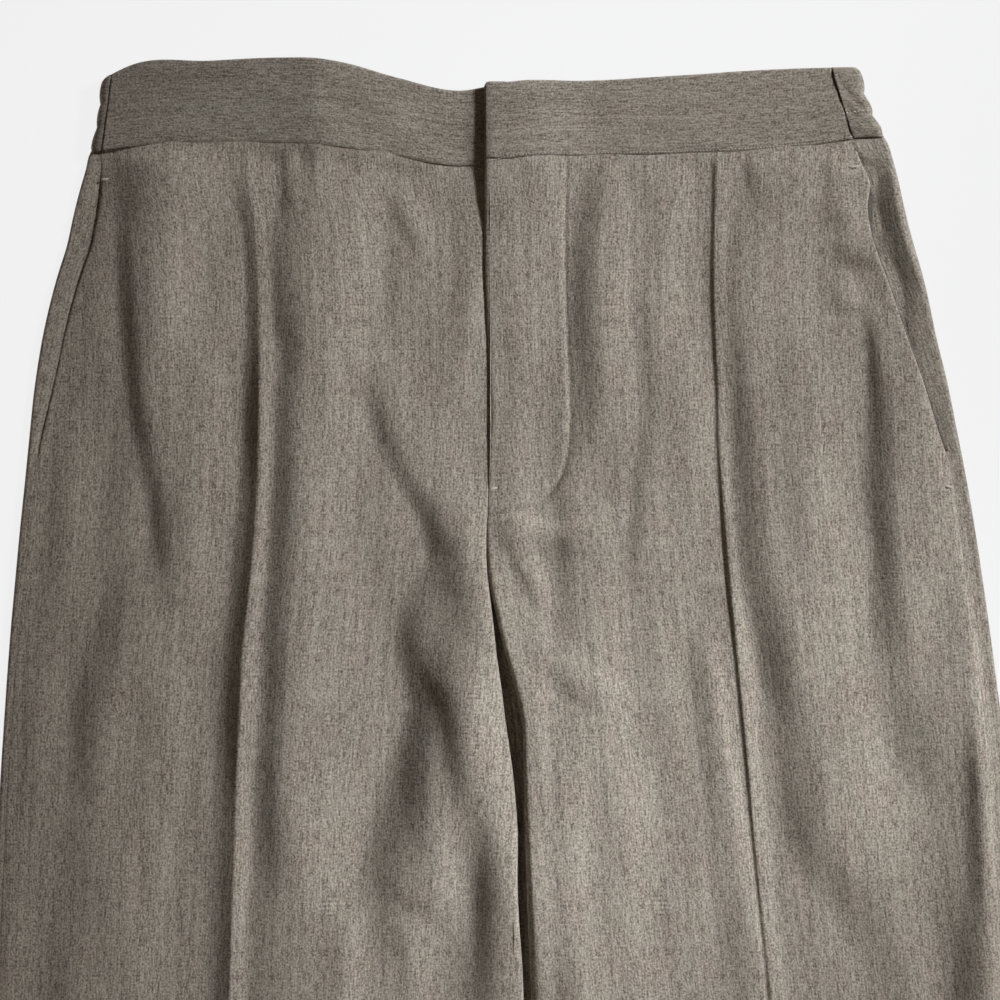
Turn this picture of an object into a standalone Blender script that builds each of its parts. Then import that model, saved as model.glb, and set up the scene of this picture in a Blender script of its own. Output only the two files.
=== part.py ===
"""Wool jogger trousers lying flat with the front up: four leg panels, a plain front waistband that
laps at the fly, an elastic back waistband that comes round the sides, and two side pocket facings.

Sizes are in millimetres. ACROSS runs to the wearer's left (+X), DOWN runs from the waistband's top
edge at the fly towards the hems (-Y), and heights are above the surface that the garment lies on.
Sides are the wearer's. OUT is the distance from the centre line towards the side seam of a leg.
"""

import math

import bmesh
import bpy
import numpy as np
from mathutils import Matrix

MM = 0.001

# Cloth and the gaps between the pieces
WALL = 1.2
GAP = 0.3
INSEAM_GAP = 1.5  # at the middle of the cloth, so that the corners of two edges that face each other clear
BAND_WALL = 3.0
ELASTIC_WALL = 3.6
FACING_WALL = 1.0

# Heights of the middle of the cloth
FLOOR_LAYER = WALL / 2
BAND_LAYER = 5.9
REST_LAYER = 3.4
SIDE_FOLD = 5.4

# Lengths down the garment
WAIST = 38
FLY_END = 212
CROTCH = 275
HEM = 996

# The fly: how far the left half laps past the centre, how far the right half runs under it, and the rise
LAP = 1.6
UNDERLAP = 12
FLY_RISE = 2.4
BAND_RISE = 3.4
FLY_WIDTH = 40

# The side pockets
MOUTH_TOP = 54
MOUTH_END = 212
MOUTH_GAPE = 1.6
FACING_REACH = 9

# The fold between the legs: how far its foot may lean in, and where the first columns end beside it
FOOT = 6
FOOT_SHARE = 0.9  # the share of the lean that shows at the fold's furthest point
FLAT_START = 15
LEGS_PART = (520, 640)  # the stretch over which the legs draw apart

# How much the hem slopes, so that it stays square to a leg that points outwards
HEM_SLOPE = {"right": 0.035, "left": 0.07}

SIGN = {"right": -1, "left": 1}

# The garment's outline and the lines down each leg. "out" is the outer fold, "strip" how far the back
# comes round onto the front, "crease" the pintuck and "inner" the fold between the legs, all counted
# outwards from the centre line, and "rise" is how high the cloth stands at that inner fold.
LEGS = {
    "right": [
        dict(down=36, out=213, strip=4.5, crease=132, inner=0, rise=5.9),
        dict(down=60, out=220, strip=10.5, crease=129, inner=0, rise=4.6),
        dict(down=115, out=234.8, strip=12, crease=124, inner=0, rise=4.2),
        dict(down=165, out=244, strip=9.5, crease=122, inner=0, rise=4.2),
        dict(down=215, out=249, strip=5.5, crease=124, inner=0, rise=5),
        dict(down=275, out=255, strip=5.5, crease=130, inner=-1, rise=10),
        dict(down=330, out=259.5, strip=5.5, crease=134.5, inner=-8, rise=13),
        dict(down=400, out=263.5, strip=5.5, crease=138.5, inner=-14, rise=14),
        dict(down=490, out=267, strip=5.5, crease=142, inner=-18, rise=13),
        dict(down=640, out=269, strip=5.5, crease=148, inner=-2, rise=9),
        dict(down=820, out=270, strip=5.5, crease=153, inner=23, rise=6.5),
        dict(down=1000, out=271, strip=5.5, crease=158, inner=46, rise=5.4),
    ],
    "left": [
        dict(down=36, out=214, strip=14, crease=120, inner=0, rise=5.9),
        dict(down=60, out=219.5, strip=9.5, crease=120, inner=0, rise=4.6),
        dict(down=115, out=233, strip=11, crease=120, inner=0, rise=4.2),
        dict(down=165, out=244.8, strip=9.5, crease=120.5, inner=0, rise=4.2),
        dict(down=215, out=255, strip=6, crease=123.5, inner=0, rise=5),
        dict(down=275, out=265, strip=8, crease=128, inner=2, rise=8.5),
        dict(down=330, out=272.5, strip=9, crease=134, inner=13.5, rise=10.5),
        dict(down=400, out=277, strip=7.5, crease=139.5, inner=19, rise=10.5),
        dict(down=490, out=281, strip=7, crease=147, inner=23, rise=10),
        dict(down=640, out=284, strip=6, crease=157, inner=36, rise=8),
        dict(down=820, out=286, strip=6, crease=166, inner=50, rise=6.5),
        dict(down=1000, out=287, strip=6, crease=175, inner=63, rise=5.4),
    ],
}

# The waistband from side to side: the front band's top edge, the seam under it and how high it waves,
# and the back band's top edge and seam, a little lower so that the front band hides them
WAISTLINE = [
    dict(across=-214, top=2, seam=38, wave=0, back_top=2, back_seam=38),
    dict(across=-190, top=-11, seam=34, wave=0.6, back_top=-7, back_seam=35.5),
    dict(across=-150, top=-12.3, seam=32, wave=0.8, back_top=-9.5, back_seam=34),
    dict(across=-105, top=-13.8, seam=32.5, wave=1.6, back_top=-10, back_seam=34),
    dict(across=-84, top=-12.6, seam=34, wave=3.0, back_top=-8.5, back_seam=35),
    dict(across=-50, top=-2.5, seam=39.5, wave=1.0, back_top=1, back_seam=39),
    dict(across=-15, top=4.6, seam=44.5, wave=0, back_top=7, back_seam=44),
    dict(across=0, top=2.5, seam=43, wave=0, back_top=7.5, back_seam=44.5),
    dict(across=12, top=-0.3, seam=40.6, wave=0, back_top=7, back_seam=44),
    dict(across=50, top=-1, seam=39, wave=0.4, back_top=3, back_seam=42),
    dict(across=100, top=-3.8, seam=38, wave=0.8, back_top=-0.5, back_seam=39),
    dict(across=150, top=-7, seam=35.5, wave=0.4, back_top=-4, back_seam=36),
    dict(across=200, top=-8, seam=33, wave=0, back_top=-7, back_seam=33),
    dict(across=215, top=-6, seam=33, wave=0, back_top=-6, back_seam=33),
]

# Where the front bands end and the elastic band's sides begin, at the band's top and at its seam
BAND_SIDES = {
    "right": dict(top_end=203.5, seam_end=208.5, top_out=208, seam_out=213),
    "left": dict(top_end=186, seam_end=199.5, top_out=198.5, seam_out=214),
}

# The folds of the front. Each is a ridge along its spine, with its foot this far to the viewer's left
# and right of it, and it fades out over its ends.
FOLDS = [
    dict(name="side drape", side="right", height=4.2, left=10, right=50, ends=35,
         spine=[(-194, 45), (-190, 104), (-184, 158), (-176, 205), (-171, 250), (-174, 285)]),
    dict(name="side drape tail", side="right", height=2.6, left=20, right=42, ends=35,
         spine=[(-166, 235), (-178, 285), (-198, 340), (-216, 410)]),
    dict(name="front bulge top", side="right", height=4.2, left=21, right=60, ends=25,
         spine=[(-90, 20), (-90, 90), (-90, 160)]),
    dict(name="front bulge", side="right", height=5.0, left=15, right=58, ends=45,
         spine=[(-97, 110), (-98, 200), (-101, 290), (-104, 380), (-110, 500), (-124, 680)]),
    dict(name="slant to crotch", side="right", height=5.0, left=13, right=36, ends=40,
         spine=[(-62, 135), (-54, 175), (-36, 212), (-20, 250), (-10, 290)]),
    dict(name="inner thigh", side="right", height=8.0, left=34, right=20, ends=60,
         spine=[(-14, 255), (-18, 330), (-24, 395), (-36, 440), (-52, 520), (-74, 640)]),
    dict(name="lower leg", side="right", height=4.0, left=26, right=36, ends=90,
         spine=[(-92, 560), (-100, 700), (-104, 930)]),
    dict(name="beside the fly", side="left", height=2.4, left=8, right=26, ends=30,
         spine=[(54, 40), (56, 115), (54, 175), (45, 215)]),
    dict(name="under the fly", side="left", height=2.4, left=9, right=8, ends=14,
         spine=[(4, 226), (24, 244), (46, 246), (68, 222)]),
    dict(name="mid front", side="left", height=3.2, left=10, right=34, ends=35,
         spine=[(86, 90), (89, 168), (86, 225), (80, 275)]),
    dict(name="front to knee", side="left", height=3.4, left=12, right=46, ends=50,
         spine=[(143, 100), (146, 180), (152, 250), (164, 300), (172, 370), (186, 430)]),
    dict(name="pocket drape", side="left", height=4.6, left=11, right=34, ends=40,
         spine=[(208, 95), (212, 180), (215, 235), (214, 275), (222, 330), (236, 385)]),
    dict(name="thigh", side="left", height=3.0, left=40, right=40, ends=70,
         spine=[(70, 270), (78, 400), (92, 560)]),
    dict(name="lower side", side="left", height=3.6, left=30, right=34, ends=90,
         spine=[(222, 430), (226, 600), (222, 800)]),
]

# How high the sewn pintuck stands, down the leg
TUCK_HEIGHT = {
    "right": [dict(down=36, height=1.2), dict(down=200, height=2.4), dict(down=300, height=4.2),
              dict(down=600, height=4.2), dict(down=1000, height=2.2)],
    "left": [dict(down=36, height=1.6), dict(down=300, height=2.2), dict(down=600, height=2.4),
             dict(down=1000, height=2.0)],
}
TUCK_STEEP = 5
TUCK_SOFT = 11
TUCK_LEAN = 1.5  # how far the pintuck's crest stands to the viewer's right of its line

# How far each rise in the cloth reaches: from the waist seam, the side fold and the inner fold
WAIST_REACH = 40
SIDE_REACH = 34
INNER_REACH = 42

# Rows of the mesh, by their distance down, and columns in each stretch of a section
ROWS = [38, 52, 70, 92, 116, 140, 165, 190, 212, 226, 250, 275, 300, 330, 365, 405, 445, 490,
        545, 610, 690, 780, 880, 996]
FRONT_COLUMNS = dict(inner=5, belly=8, tuck=1, side=7)
BACK_COLUMNS = dict(inner=5, floor=7, fold=5, strip=2)
BAND_COLUMNS = 15
DENSE = 40  # points on each stretch of a section, before it is respaced into its columns

# Cloth colours and their shader values
CLOTH = dict(color=(0.235, 0.205, 0.172), roughness=0.85)
BAND_CLOTH = dict(color=(0.225, 0.196, 0.165), roughness=0.85)
FACING_CLOTH = dict(color=(0.14, 0.12, 0.10), roughness=0.9)


def ease(start, end, value):
    """Smooth step from 0 at start to 1 at end."""
    t = np.clip((np.asarray(value, float) - start) / (end - start), 0, 1)
    return t * t * (3 - 2 * t)


def read(rows, key, column, value):
    """A table's column as a smooth curve through its rows, read at each value of the key."""
    knots = np.array([row[key] for row in rows], float)
    marks = np.array([row[column] for row in rows], float)
    slopes = np.gradient(marks, knots)
    value = np.clip(np.asarray(value, float), knots[0], knots[-1])
    i = np.clip(np.searchsorted(knots, value) - 1, 0, len(knots) - 2)
    span = knots[i + 1] - knots[i]
    t = (value - knots[i]) / span
    rising = marks[i] * (1 + 2 * t) * (1 - t) ** 2 + marks[i + 1] * t * t * (3 - 2 * t)
    return rising + span * (slopes[i] * t * (1 - t) ** 2 - slopes[i + 1] * t * t * (1 - t))


def leg(side, column, down):
    return read(LEGS[side], "down", column, down)


def waist(column, across):
    return read(WAISTLINE, "across", column, across)


def row_down(side, row, across, seam):
    """Where a row of the mesh lies: it follows the waist seam at the top and the sloping hem below."""
    if row <= CROTCH:
        return seam + (row - WAIST) / (CROTCH - WAIST) * (CROTCH - seam)
    low = (row - CROTCH) / (HEM - CROTCH)
    slope = -HEM_SLOPE[side] * SIGN[side] * low
    return row + slope * (across - SIGN[side] * leg(side, "crease", row))


def spine_points(spine):
    """A fold's spine as closely spaced points on a smooth curve through its own points."""
    rows = [dict(step=i, across=point[0], down=point[1]) for i, point in enumerate(spine)]
    steps = np.linspace(0, len(spine) - 1, 12 * (len(spine) - 1) + 1)
    across = read(rows, "step", "across", steps)
    return np.stack([across, read(rows, "step", "down", steps)], axis=1)


def fold_height(fold, across, down):
    """How much a fold lifts the cloth at each point."""
    line = spine_points(fold["spine"])
    ahead = np.gradient(line, axis=0)
    ahead /= np.linalg.norm(ahead, axis=1)[:, None]
    steps = np.linalg.norm(np.diff(line, axis=0), axis=1)
    run = np.concatenate([[0], np.cumsum(steps)])
    dx = across[:, None] - line[None, :, 0]
    dy = down[:, None] - line[None, :, 1]
    near = np.argmin(dx * dx + dy * dy, axis=1)
    pick = np.arange(len(across))
    dx, dy = dx[pick, near], dy[pick, near]
    tx, ty = ahead[near, 0], ahead[near, 1]
    beside = ty * dx - tx * dy
    along = run[near] + tx * dx + ty * dy
    foot = np.where(beside < 0, fold["left"], fold["right"])
    share = np.clip(np.abs(beside) / foot, 0, 1)
    ends = ease(0, fold["ends"], along) * ease(0, fold["ends"], run[-1] - along)
    return fold["height"] * (1 - share**2) ** 2 * ends


def tuck_height(side, across, down):
    """The pintuck: a narrow sewn ridge, steep on the viewer's left."""
    beside = across - SIGN[side] * leg(side, "crease", down) - TUCK_LEAN
    foot = np.where(beside < 0, TUCK_STEEP, TUCK_SOFT)
    share = np.clip(np.abs(beside) / foot, 0, 1)
    return read(TUCK_HEIGHT[side], "down", "height", down) * (1 - share) ** 2


def curl(down):
    """How far the panels have turned on edge between the legs: 0 flat, 1 at the crotch and below."""
    return ease(CROTCH - 85, CROTCH, down)


def calm_height(side, out, down):
    """Height of the middle of the upper layer before its folds: it rises to the bands and the edges."""
    edge = leg(side, "out", down) - out
    inner = out - leg(side, "inner", down)
    high = REST_LAYER + (BAND_LAYER - REST_LAYER) * (1 - ease(WAIST, WAIST + WAIST_REACH, down))
    high = high + (SIDE_FOLD - high) * (1 - ease(0, SIDE_REACH, edge))
    return high + (leg(side, "rise", down) - high) * (1 - ease(0, INNER_REACH, inner))


def front_height(side, out, down):
    """Height of the middle of the upper layer, with its folds, its pintuck and the lap of the fly."""
    across = SIGN[side] * out
    edge = leg(side, "out", down) - out
    high = calm_height(side, out, down)
    folds = tuck_height(side, across, down)
    folds = folds + sum(fold_height(f, across, down) for f in FOLDS if f["side"] == side)
    # The seams hold the cloth down: at the side, the waist, the hem and the fly.
    at_waist = 1 - ease(WAIST, WAIST + 30, down)
    at_hem = ease(HEM - 60, HEM, down)
    at_fly = (1 - ease(-2, 14, out)) * (1 - ease(CROTCH - 45, CROTCH, down))
    free = ease(2, 16, edge) * (1 - 0.55 * at_waist) * (1 - 0.35 * at_hem) * (1 - at_fly)
    high = high + folds * free + waist("wave", across) * at_waist
    if side == "left":
        lap = (1 - ease(FLY_WIDTH * 0.4, FLY_WIDTH, out)) * (1 - ease(FLY_END + 12, FLY_END + 36, down))
        high = high + FLY_RISE * lap
    return high


def centre_edge(side, down):
    """Where a front panel ends at the centre: past it on the fly's upper half, under that on the lower."""
    shut = float(ease(FLY_END - 12, FLY_END, down))
    reach = LAP if side == "left" else UNDERLAP
    return -reach * (1 - shut) + GAP / 2 * shut


def clean(points):
    """Drops points that repeat the one before."""
    kept = [points[0]]
    for point in points[1:]:
        if math.dist(point, kept[-1]) > 0.01:
            kept.append(point)
    return kept


def spread(points, pieces):
    """The points of a run respaced evenly by length, as the ends of this many pieces."""
    line = np.array(clean(points))
    run = np.concatenate([[0], np.cumsum(np.linalg.norm(np.diff(line, axis=0), axis=1))])
    at = np.linspace(0, run[-1], pieces + 1)
    return np.stack([np.interp(at, run, line[:, k]) for k in range(line.shape[1])], axis=1)


def join(stretches):
    """Stretches of a section, one after the other, with their shared ends once."""
    return np.concatenate([stretches[0]] + [stretch[1:] for stretch in stretches[1:]])


def inner_fold(side, down):
    """The fold between the legs: its middle, its radius, how far it has curled and its foot's lean."""
    turned = curl(down) * math.pi / 2
    inside = float(leg(side, "inner", down)) if down > CROTCH else GAP / 2
    crown = front_height(side, np.array([inside + 0.45 * leg(side, "rise", down)]), np.array([down]))
    radius = (float(crown[0]) - FLOOR_LAYER) / 2
    middle = inside + (WALL / 2 + radius) * math.sin(turned)
    half_gap = float(leg("right", "inner", down) + leg("left", "inner", down)) / 2
    foot = max(0.0, half_gap - GAP / 2) / FOOT_SHARE * float(ease(CROTCH, CROTCH + 30, down))
    foot = min(foot, FOOT) * (1 - float(ease(*LEGS_PART, down)))
    return middle, radius, turned, foot


def fold_arc(fold, upper):
    """Points from the inseam round the fold: over the top for the front, along the surface for the back.
    The lower half leans in, so that the legs meet at the surface and the gap is a groove."""
    middle, radius, turned, foot = fold
    on_edge = turned > 1.5
    ends = turned - INSEAM_GAP / 2 / radius if on_edge else turned
    arc = []
    for turn in np.linspace(ends, 0, 9):
        from_top = turn if upper else math.pi - turn
        out = middle - radius * math.sin(from_top) - foot * float(ease(0.7, 2.2, from_top))
        arc.append((out, FLOOR_LAYER + radius * (1 + math.cos(from_top))))
    return np.array(arc)


def rows_of(side, section, seam):
    """The mesh rows of a panel: each row's section, placed at its distance down."""
    grid = []
    for row in ROWS:
        flat = section(side, row)
        across = SIGN[side] * flat[:, 0]
        down = row_down(side, row, across, waist(seam, across))
        grid.append(np.stack([across, down, flat[:, 1]], axis=1))
    return grid


def upper_run(side, row, start, end, count):
    """Evenly spaced points on the upper layer between two places on a row: (out, height)."""
    out = np.linspace(start, end, count)
    across = SIGN[side] * out
    down = row_down(side, row, across, waist("seam", across))
    return np.stack([out, front_height(side, out, down)], axis=1)


def front_section(side, row):
    """A front panel's section, from the centre or the inseam out to the side seam: (out, height)."""
    fold = inner_fold(side, row)
    curled = row > FLY_END + 1
    start = fold[0] if curled else float(centre_edge(side, row))
    crest = float(leg(side, "crease", row)) + TUCK_LEAN * SIGN[side]
    seam = float(leg(side, "out", row) - leg(side, "strip", row)) - GAP / 2
    inner = upper_run(side, row, start, start + FLAT_START, DENSE)
    if curled:
        arc = fold_arc(fold, upper=True)
        inner[:, 1] += (arc[-1, 1] - inner[0, 1]) * (1 - ease(0, FLAT_START, inner[:, 0] - start))
        inner = np.concatenate([arc, inner[1:]])
    belly = upper_run(side, row, start + FLAT_START, crest - TUCK_STEEP, DENSE)
    near_side = upper_run(side, row, crest - TUCK_STEEP, crest, DENSE)
    far_side = upper_run(side, row, crest, crest + TUCK_STEEP, DENSE)
    outer = upper_run(side, row, crest + TUCK_STEEP, seam, DENSE)
    return join([spread(inner, FRONT_COLUMNS["inner"]), spread(belly, FRONT_COLUMNS["belly"]),
                 spread(near_side, FRONT_COLUMNS["tuck"]), spread(far_side, FRONT_COLUMNS["tuck"]),
                 spread(outer, FRONT_COLUMNS["side"])])


def back_section(side, row):
    """A back panel's section, from the inseam along the surface, round the side and onto the front."""
    fold = inner_fold(side, row)
    arc = fold_arc(fold, upper=False)
    floor_start = (fold[0] + FLAT_START, FLOOR_LAYER)
    start = list(arc) + [floor_start]
    edge = float(leg(side, "out", row)) - WALL / 2
    seam = float(leg(side, "out", row) - leg(side, "strip", row)) + GAP / 2
    mouth = ease(MOUTH_TOP, MOUTH_TOP + 14, row) * (1 - ease(MOUTH_END - 22, MOUTH_END, row))
    seam += MOUTH_GAPE * float(mouth)
    crown = upper_run(side, row, edge, edge, 1)[0, 1]
    bend = (crown - FLOOR_LAYER) / 2
    centre = edge - bend
    sweep = np.linspace(-math.pi / 2, math.pi / 2, 17)
    side_arc = [(centre + bend * math.cos(a), FLOOR_LAYER + bend * (1 + math.sin(a))) for a in sweep]
    strip = upper_run(side, row, centre, seam, DENSE)
    strip[0, 1] = crown
    floor = [floor_start, (centre, FLOOR_LAYER)]
    return join([spread(start, BACK_COLUMNS["inner"]), spread(floor, BACK_COLUMNS["floor"]),
                 spread(side_arc, BACK_COLUMNS["fold"]), spread(strip, BACK_COLUMNS["strip"])])


def cloth_material(name, look):
    material = bpy.data.materials.new(name)
    material.use_nodes = True
    shader = material.node_tree.nodes["Principled BSDF"]
    shader.inputs["Base Color"].default_value = (*look["color"], 1)
    shader.inputs["Roughness"].default_value = look["roughness"]
    shader.inputs["Metallic"].default_value = 0
    return material


def wall(name, grid, thickness, look):
    """A closed cloth wall on a grid of rows of (across, down, height), the middle of the cloth."""
    mesh = bpy.data.meshes.new(name)
    form = bmesh.new()
    points = [[form.verts.new((x * MM, -d * MM, z * MM)) for x, d, z in row] for row in grid]
    for row, below in zip(points, points[1:]):
        for k in range(len(row) - 1):
            form.faces.new((row[k], row[k + 1], below[k + 1], below[k]))
    bmesh.ops.recalc_face_normals(form, faces=form.faces)
    form.to_mesh(mesh)
    form.free()
    mesh.shade_smooth()
    mesh.materials.append(cloth_material(name, look))
    piece = bpy.data.objects.new(name, mesh)
    bpy.context.collection.objects.link(piece)
    thick = piece.modifiers.new("cloth thickness", "SOLIDIFY")
    thick.thickness = thickness * MM
    thick.offset = 0
    thick.use_even_offset = True
    thick.use_rim = True
    return piece


def front_band(side):
    """A front waistband from its side end to the fly, where the left laps over the right."""
    ends = BAND_SIDES[side]
    reach = LAP if side == "left" else UNDERLAP
    grid = []
    for share in (0, 0.5, 1):
        outer = ends["top_end"] + share * (ends["seam_end"] - ends["top_end"]) - GAP / 2
        out = np.linspace(-reach, outer, BAND_COLUMNS)
        across = SIGN[side] * out
        top, seam = waist("top", across), waist("seam", across) - GAP
        if side == "left":
            lapped = 1 - ease(6, 14, out)
            top = top * (1 - lapped) + waist("top", 12) * lapped
            seam = seam * (1 - lapped) + (waist("seam", 12) - GAP) * lapped
        down = top + share * (seam - top)
        high = BAND_LAYER + waist("wave", across)
        if side == "left":
            high = high + BAND_RISE * (1 - ease(FLY_WIDTH * 0.35, FLY_WIDTH * 1.3, out))
        grid.append(np.stack([across, down, high], axis=1))
    return grid


def back_band():
    """The elastic band: along the surface, then round each side and onto the front."""
    layer = ELASTIC_WALL / 2
    bend = (BAND_LAYER - layer) / 2
    grid = []
    for share in (0, 0.5, 1):
        halves = []
        for side in ("right", "left"):
            ends = BAND_SIDES[side]
            outer = ends["top_out"] + share * (ends["seam_out"] - ends["top_out"]) - layer
            inner = ends["top_end"] + share * (ends["seam_end"] - ends["top_end"]) + GAP / 2
            inner = min(inner, outer - bend - 2 * GAP)
            sweep = np.linspace(-math.pi / 2, math.pi / 2, 7)
            turn = [(outer - bend + bend * math.cos(a), layer + bend * (1 + math.sin(a))) for a in sweep]
            halves.append(np.array(turn + [(inner, BAND_LAYER)]) * [SIGN[side], 1])
        floor_across = np.linspace(halves[0][0, 0], halves[1][0, 0], BAND_COLUMNS + 2)[1:-1]
        floor = np.stack([floor_across, np.full(BAND_COLUMNS, layer)], axis=1)
        ring = np.concatenate([halves[0][::-1], floor, halves[1]])
        raised = (ring[:, 1] - layer) / (2 * bend)
        top = waist("back_top", ring[:, 0]) * (1 - raised) + waist("top", ring[:, 0]) * raised
        seam = waist("back_seam", ring[:, 0]) * (1 - raised) + waist("seam", ring[:, 0]) * raised - 2 * GAP
        grid.append(np.stack([ring[:, 0], top + share * (seam - top), ring[:, 1]], axis=1))
    return grid


def pocket_facing(side):
    """The strip under the pocket's mouth, just below the front's edge and the back's."""
    drop = WALL / 2 + 2 * GAP + FACING_WALL / 2
    grid = []
    for down in np.linspace(MOUTH_TOP + 2, MOUTH_END - 16, 8):
        seam = leg(side, "out", down) - leg(side, "strip", down)
        reach = min(MOUTH_GAPE + 2.2, leg(side, "strip", down) - 5)
        out = np.linspace(seam - FACING_REACH, seam + reach, 4)
        high = calm_height(side, out, np.full(4, down)) - drop
        grid.append(np.stack([SIGN[side] * out, np.full(4, down), high], axis=1))
    return grid


def centre(pieces):
    """Moves the whole garment so that its box stands on the origin, in the middle."""
    bpy.context.view_layer.update()
    graph = bpy.context.evaluated_depsgraph_get()
    corners = np.array([corner for piece in pieces for corner in piece.evaluated_get(graph).bound_box])
    low, high = corners.min(axis=0), corners.max(axis=0)
    move = Matrix.Translation((-(low[0] + high[0]) / 2, -(low[1] + high[1]) / 2, -low[2]))
    for piece in pieces:
        piece.data.transform(move)


def build():
    for thing in list(bpy.data.objects):
        bpy.data.objects.remove(thing, do_unlink=True)
    pieces = []
    for side in ("right", "left"):
        pieces.append((f"front_{side}", rows_of(side, front_section, "seam"), WALL, CLOTH))
        pieces.append((f"back_{side}", rows_of(side, back_section, "back_seam"), WALL, CLOTH))
        pieces.append((f"waistband_front_{side}", front_band(side), BAND_WALL, BAND_CLOTH))
        pieces.append((f"pocket_facing_{side}", pocket_facing(side), FACING_WALL, FACING_CLOTH))
    pieces.append(("waistband_back", back_band(), ELASTIC_WALL, BAND_CLOTH))
    centre([wall(name, grid, thickness, look) for name, grid, thickness, look in pieces])


build()
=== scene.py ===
"""The looks of a pair of wool jogger trousers lying flat with the front up.

Sizes are in millimetres. ACROSS runs to the wearer's left (+X), DOWN runs from the waistband's top
edge at the fly towards the hems (-Y), and heights are above the surface that the garment lies on.
Sides are the wearer's. OUT is the distance from the centre line towards the side seam of a leg.
"""

import math

import bmesh
import bpy
import numpy as np
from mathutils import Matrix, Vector


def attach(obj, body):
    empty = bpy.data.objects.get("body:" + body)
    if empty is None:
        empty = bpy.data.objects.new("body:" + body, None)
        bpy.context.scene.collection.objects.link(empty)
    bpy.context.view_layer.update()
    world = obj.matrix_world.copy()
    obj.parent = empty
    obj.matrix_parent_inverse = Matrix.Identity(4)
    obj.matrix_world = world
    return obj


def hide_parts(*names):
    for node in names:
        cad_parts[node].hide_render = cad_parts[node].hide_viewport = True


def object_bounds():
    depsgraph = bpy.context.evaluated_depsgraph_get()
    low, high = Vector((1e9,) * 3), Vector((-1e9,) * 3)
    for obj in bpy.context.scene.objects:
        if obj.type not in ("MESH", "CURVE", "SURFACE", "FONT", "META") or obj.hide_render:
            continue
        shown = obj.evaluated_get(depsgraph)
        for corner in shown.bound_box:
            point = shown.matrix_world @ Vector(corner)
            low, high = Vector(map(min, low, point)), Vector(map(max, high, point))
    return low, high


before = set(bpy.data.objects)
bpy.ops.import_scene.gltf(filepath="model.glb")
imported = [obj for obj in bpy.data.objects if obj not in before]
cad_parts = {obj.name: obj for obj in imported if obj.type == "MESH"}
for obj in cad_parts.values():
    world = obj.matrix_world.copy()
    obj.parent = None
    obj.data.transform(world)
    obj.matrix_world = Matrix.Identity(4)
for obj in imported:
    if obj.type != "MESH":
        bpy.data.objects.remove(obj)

cad_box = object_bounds()

# ------------------------------------------------------------------------------------------------
# Front legs. Two panels of fine melange wool, cut wide and straight and closed at the centre. Each
# has a sewn pintuck down its middle and turns under at the side, at the fly and at the hem. Lying
# flat, they rest in long soft folds that fall from the waist and from the crotch.

MM = 0.001
SIGN = {"right": -1, "left": 1}


def named(columns, *rows):
    """A short table: each row's numbers under the columns' names."""
    return [dict(zip(columns.split(), row)) for row in rows]


WALL = 1.0
SEAM_GAP = 0.15  # from a seam's line to each of the two edges that meet there
TURN = 0.8  # the radius of the cloth's middle where an edge is turned under
TURN_IN = 3.0  # how far the edge then runs back underneath

# Heights of the middle of the cloth: the backs, the fronts where they lie flat, the front bands and
# the fold at each side. SIDE_PUFF is how much higher the front stands beside the pocket's upper half.
FLOOR_LAYER = 0.6
REST_LAYER = 3.6
BAND_LAYER = 5.9
SIDE_FOLD = {"right": 3.2, "left": 4.6}
SIDE_PUFF = {"right": 0, "left": 2.4}

# Places down the garment: the seam under the bands, the side pocket's mouth, the fly's foot, the
# crotch and the hems. The hems slope by this much for each millimetre across.
WAIST = 38
MOUTH_TOP = 43
MOUTH_END = 212
FLY_END = 212
CROTCH = 275
HEM = 996
HEM_SLOPE = {"right": 0.035, "left": 0.07}
HEM_TURN_UP = 32

UNDERLAP = 14  # how far the right side carries on under the lap
FLY_WIDTH = 40  # from the centre line to the fly's stitches
# How far past the centre line the lap's edge lies, how high it stands, and how high the side under it
# rises to meet it from this far off
FLY_EDGE = named(
    "down lap rise under foot",
    (0, 2.9, 6.6, 3, 13), (30, 1.9, 6.6, 3, 13), (44, 1.9, 6.6, 3, 12), (54, 1.9, 5.9, 2.6, 10),
    (64, 1.9, 4.6, 1.6, 7), (76, 2, 2.6, 0.4, 4), (100, 1.6, 2.2, -0.6, 12), (121, 0.9, 1.8, -0.8, 16),
    (144, -0.2, 0.9, -0.8, 18), (174, -1.3, 0.8, -0.8, 18), (211, -0.3, 0.8, -0.8, 18)
)

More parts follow.
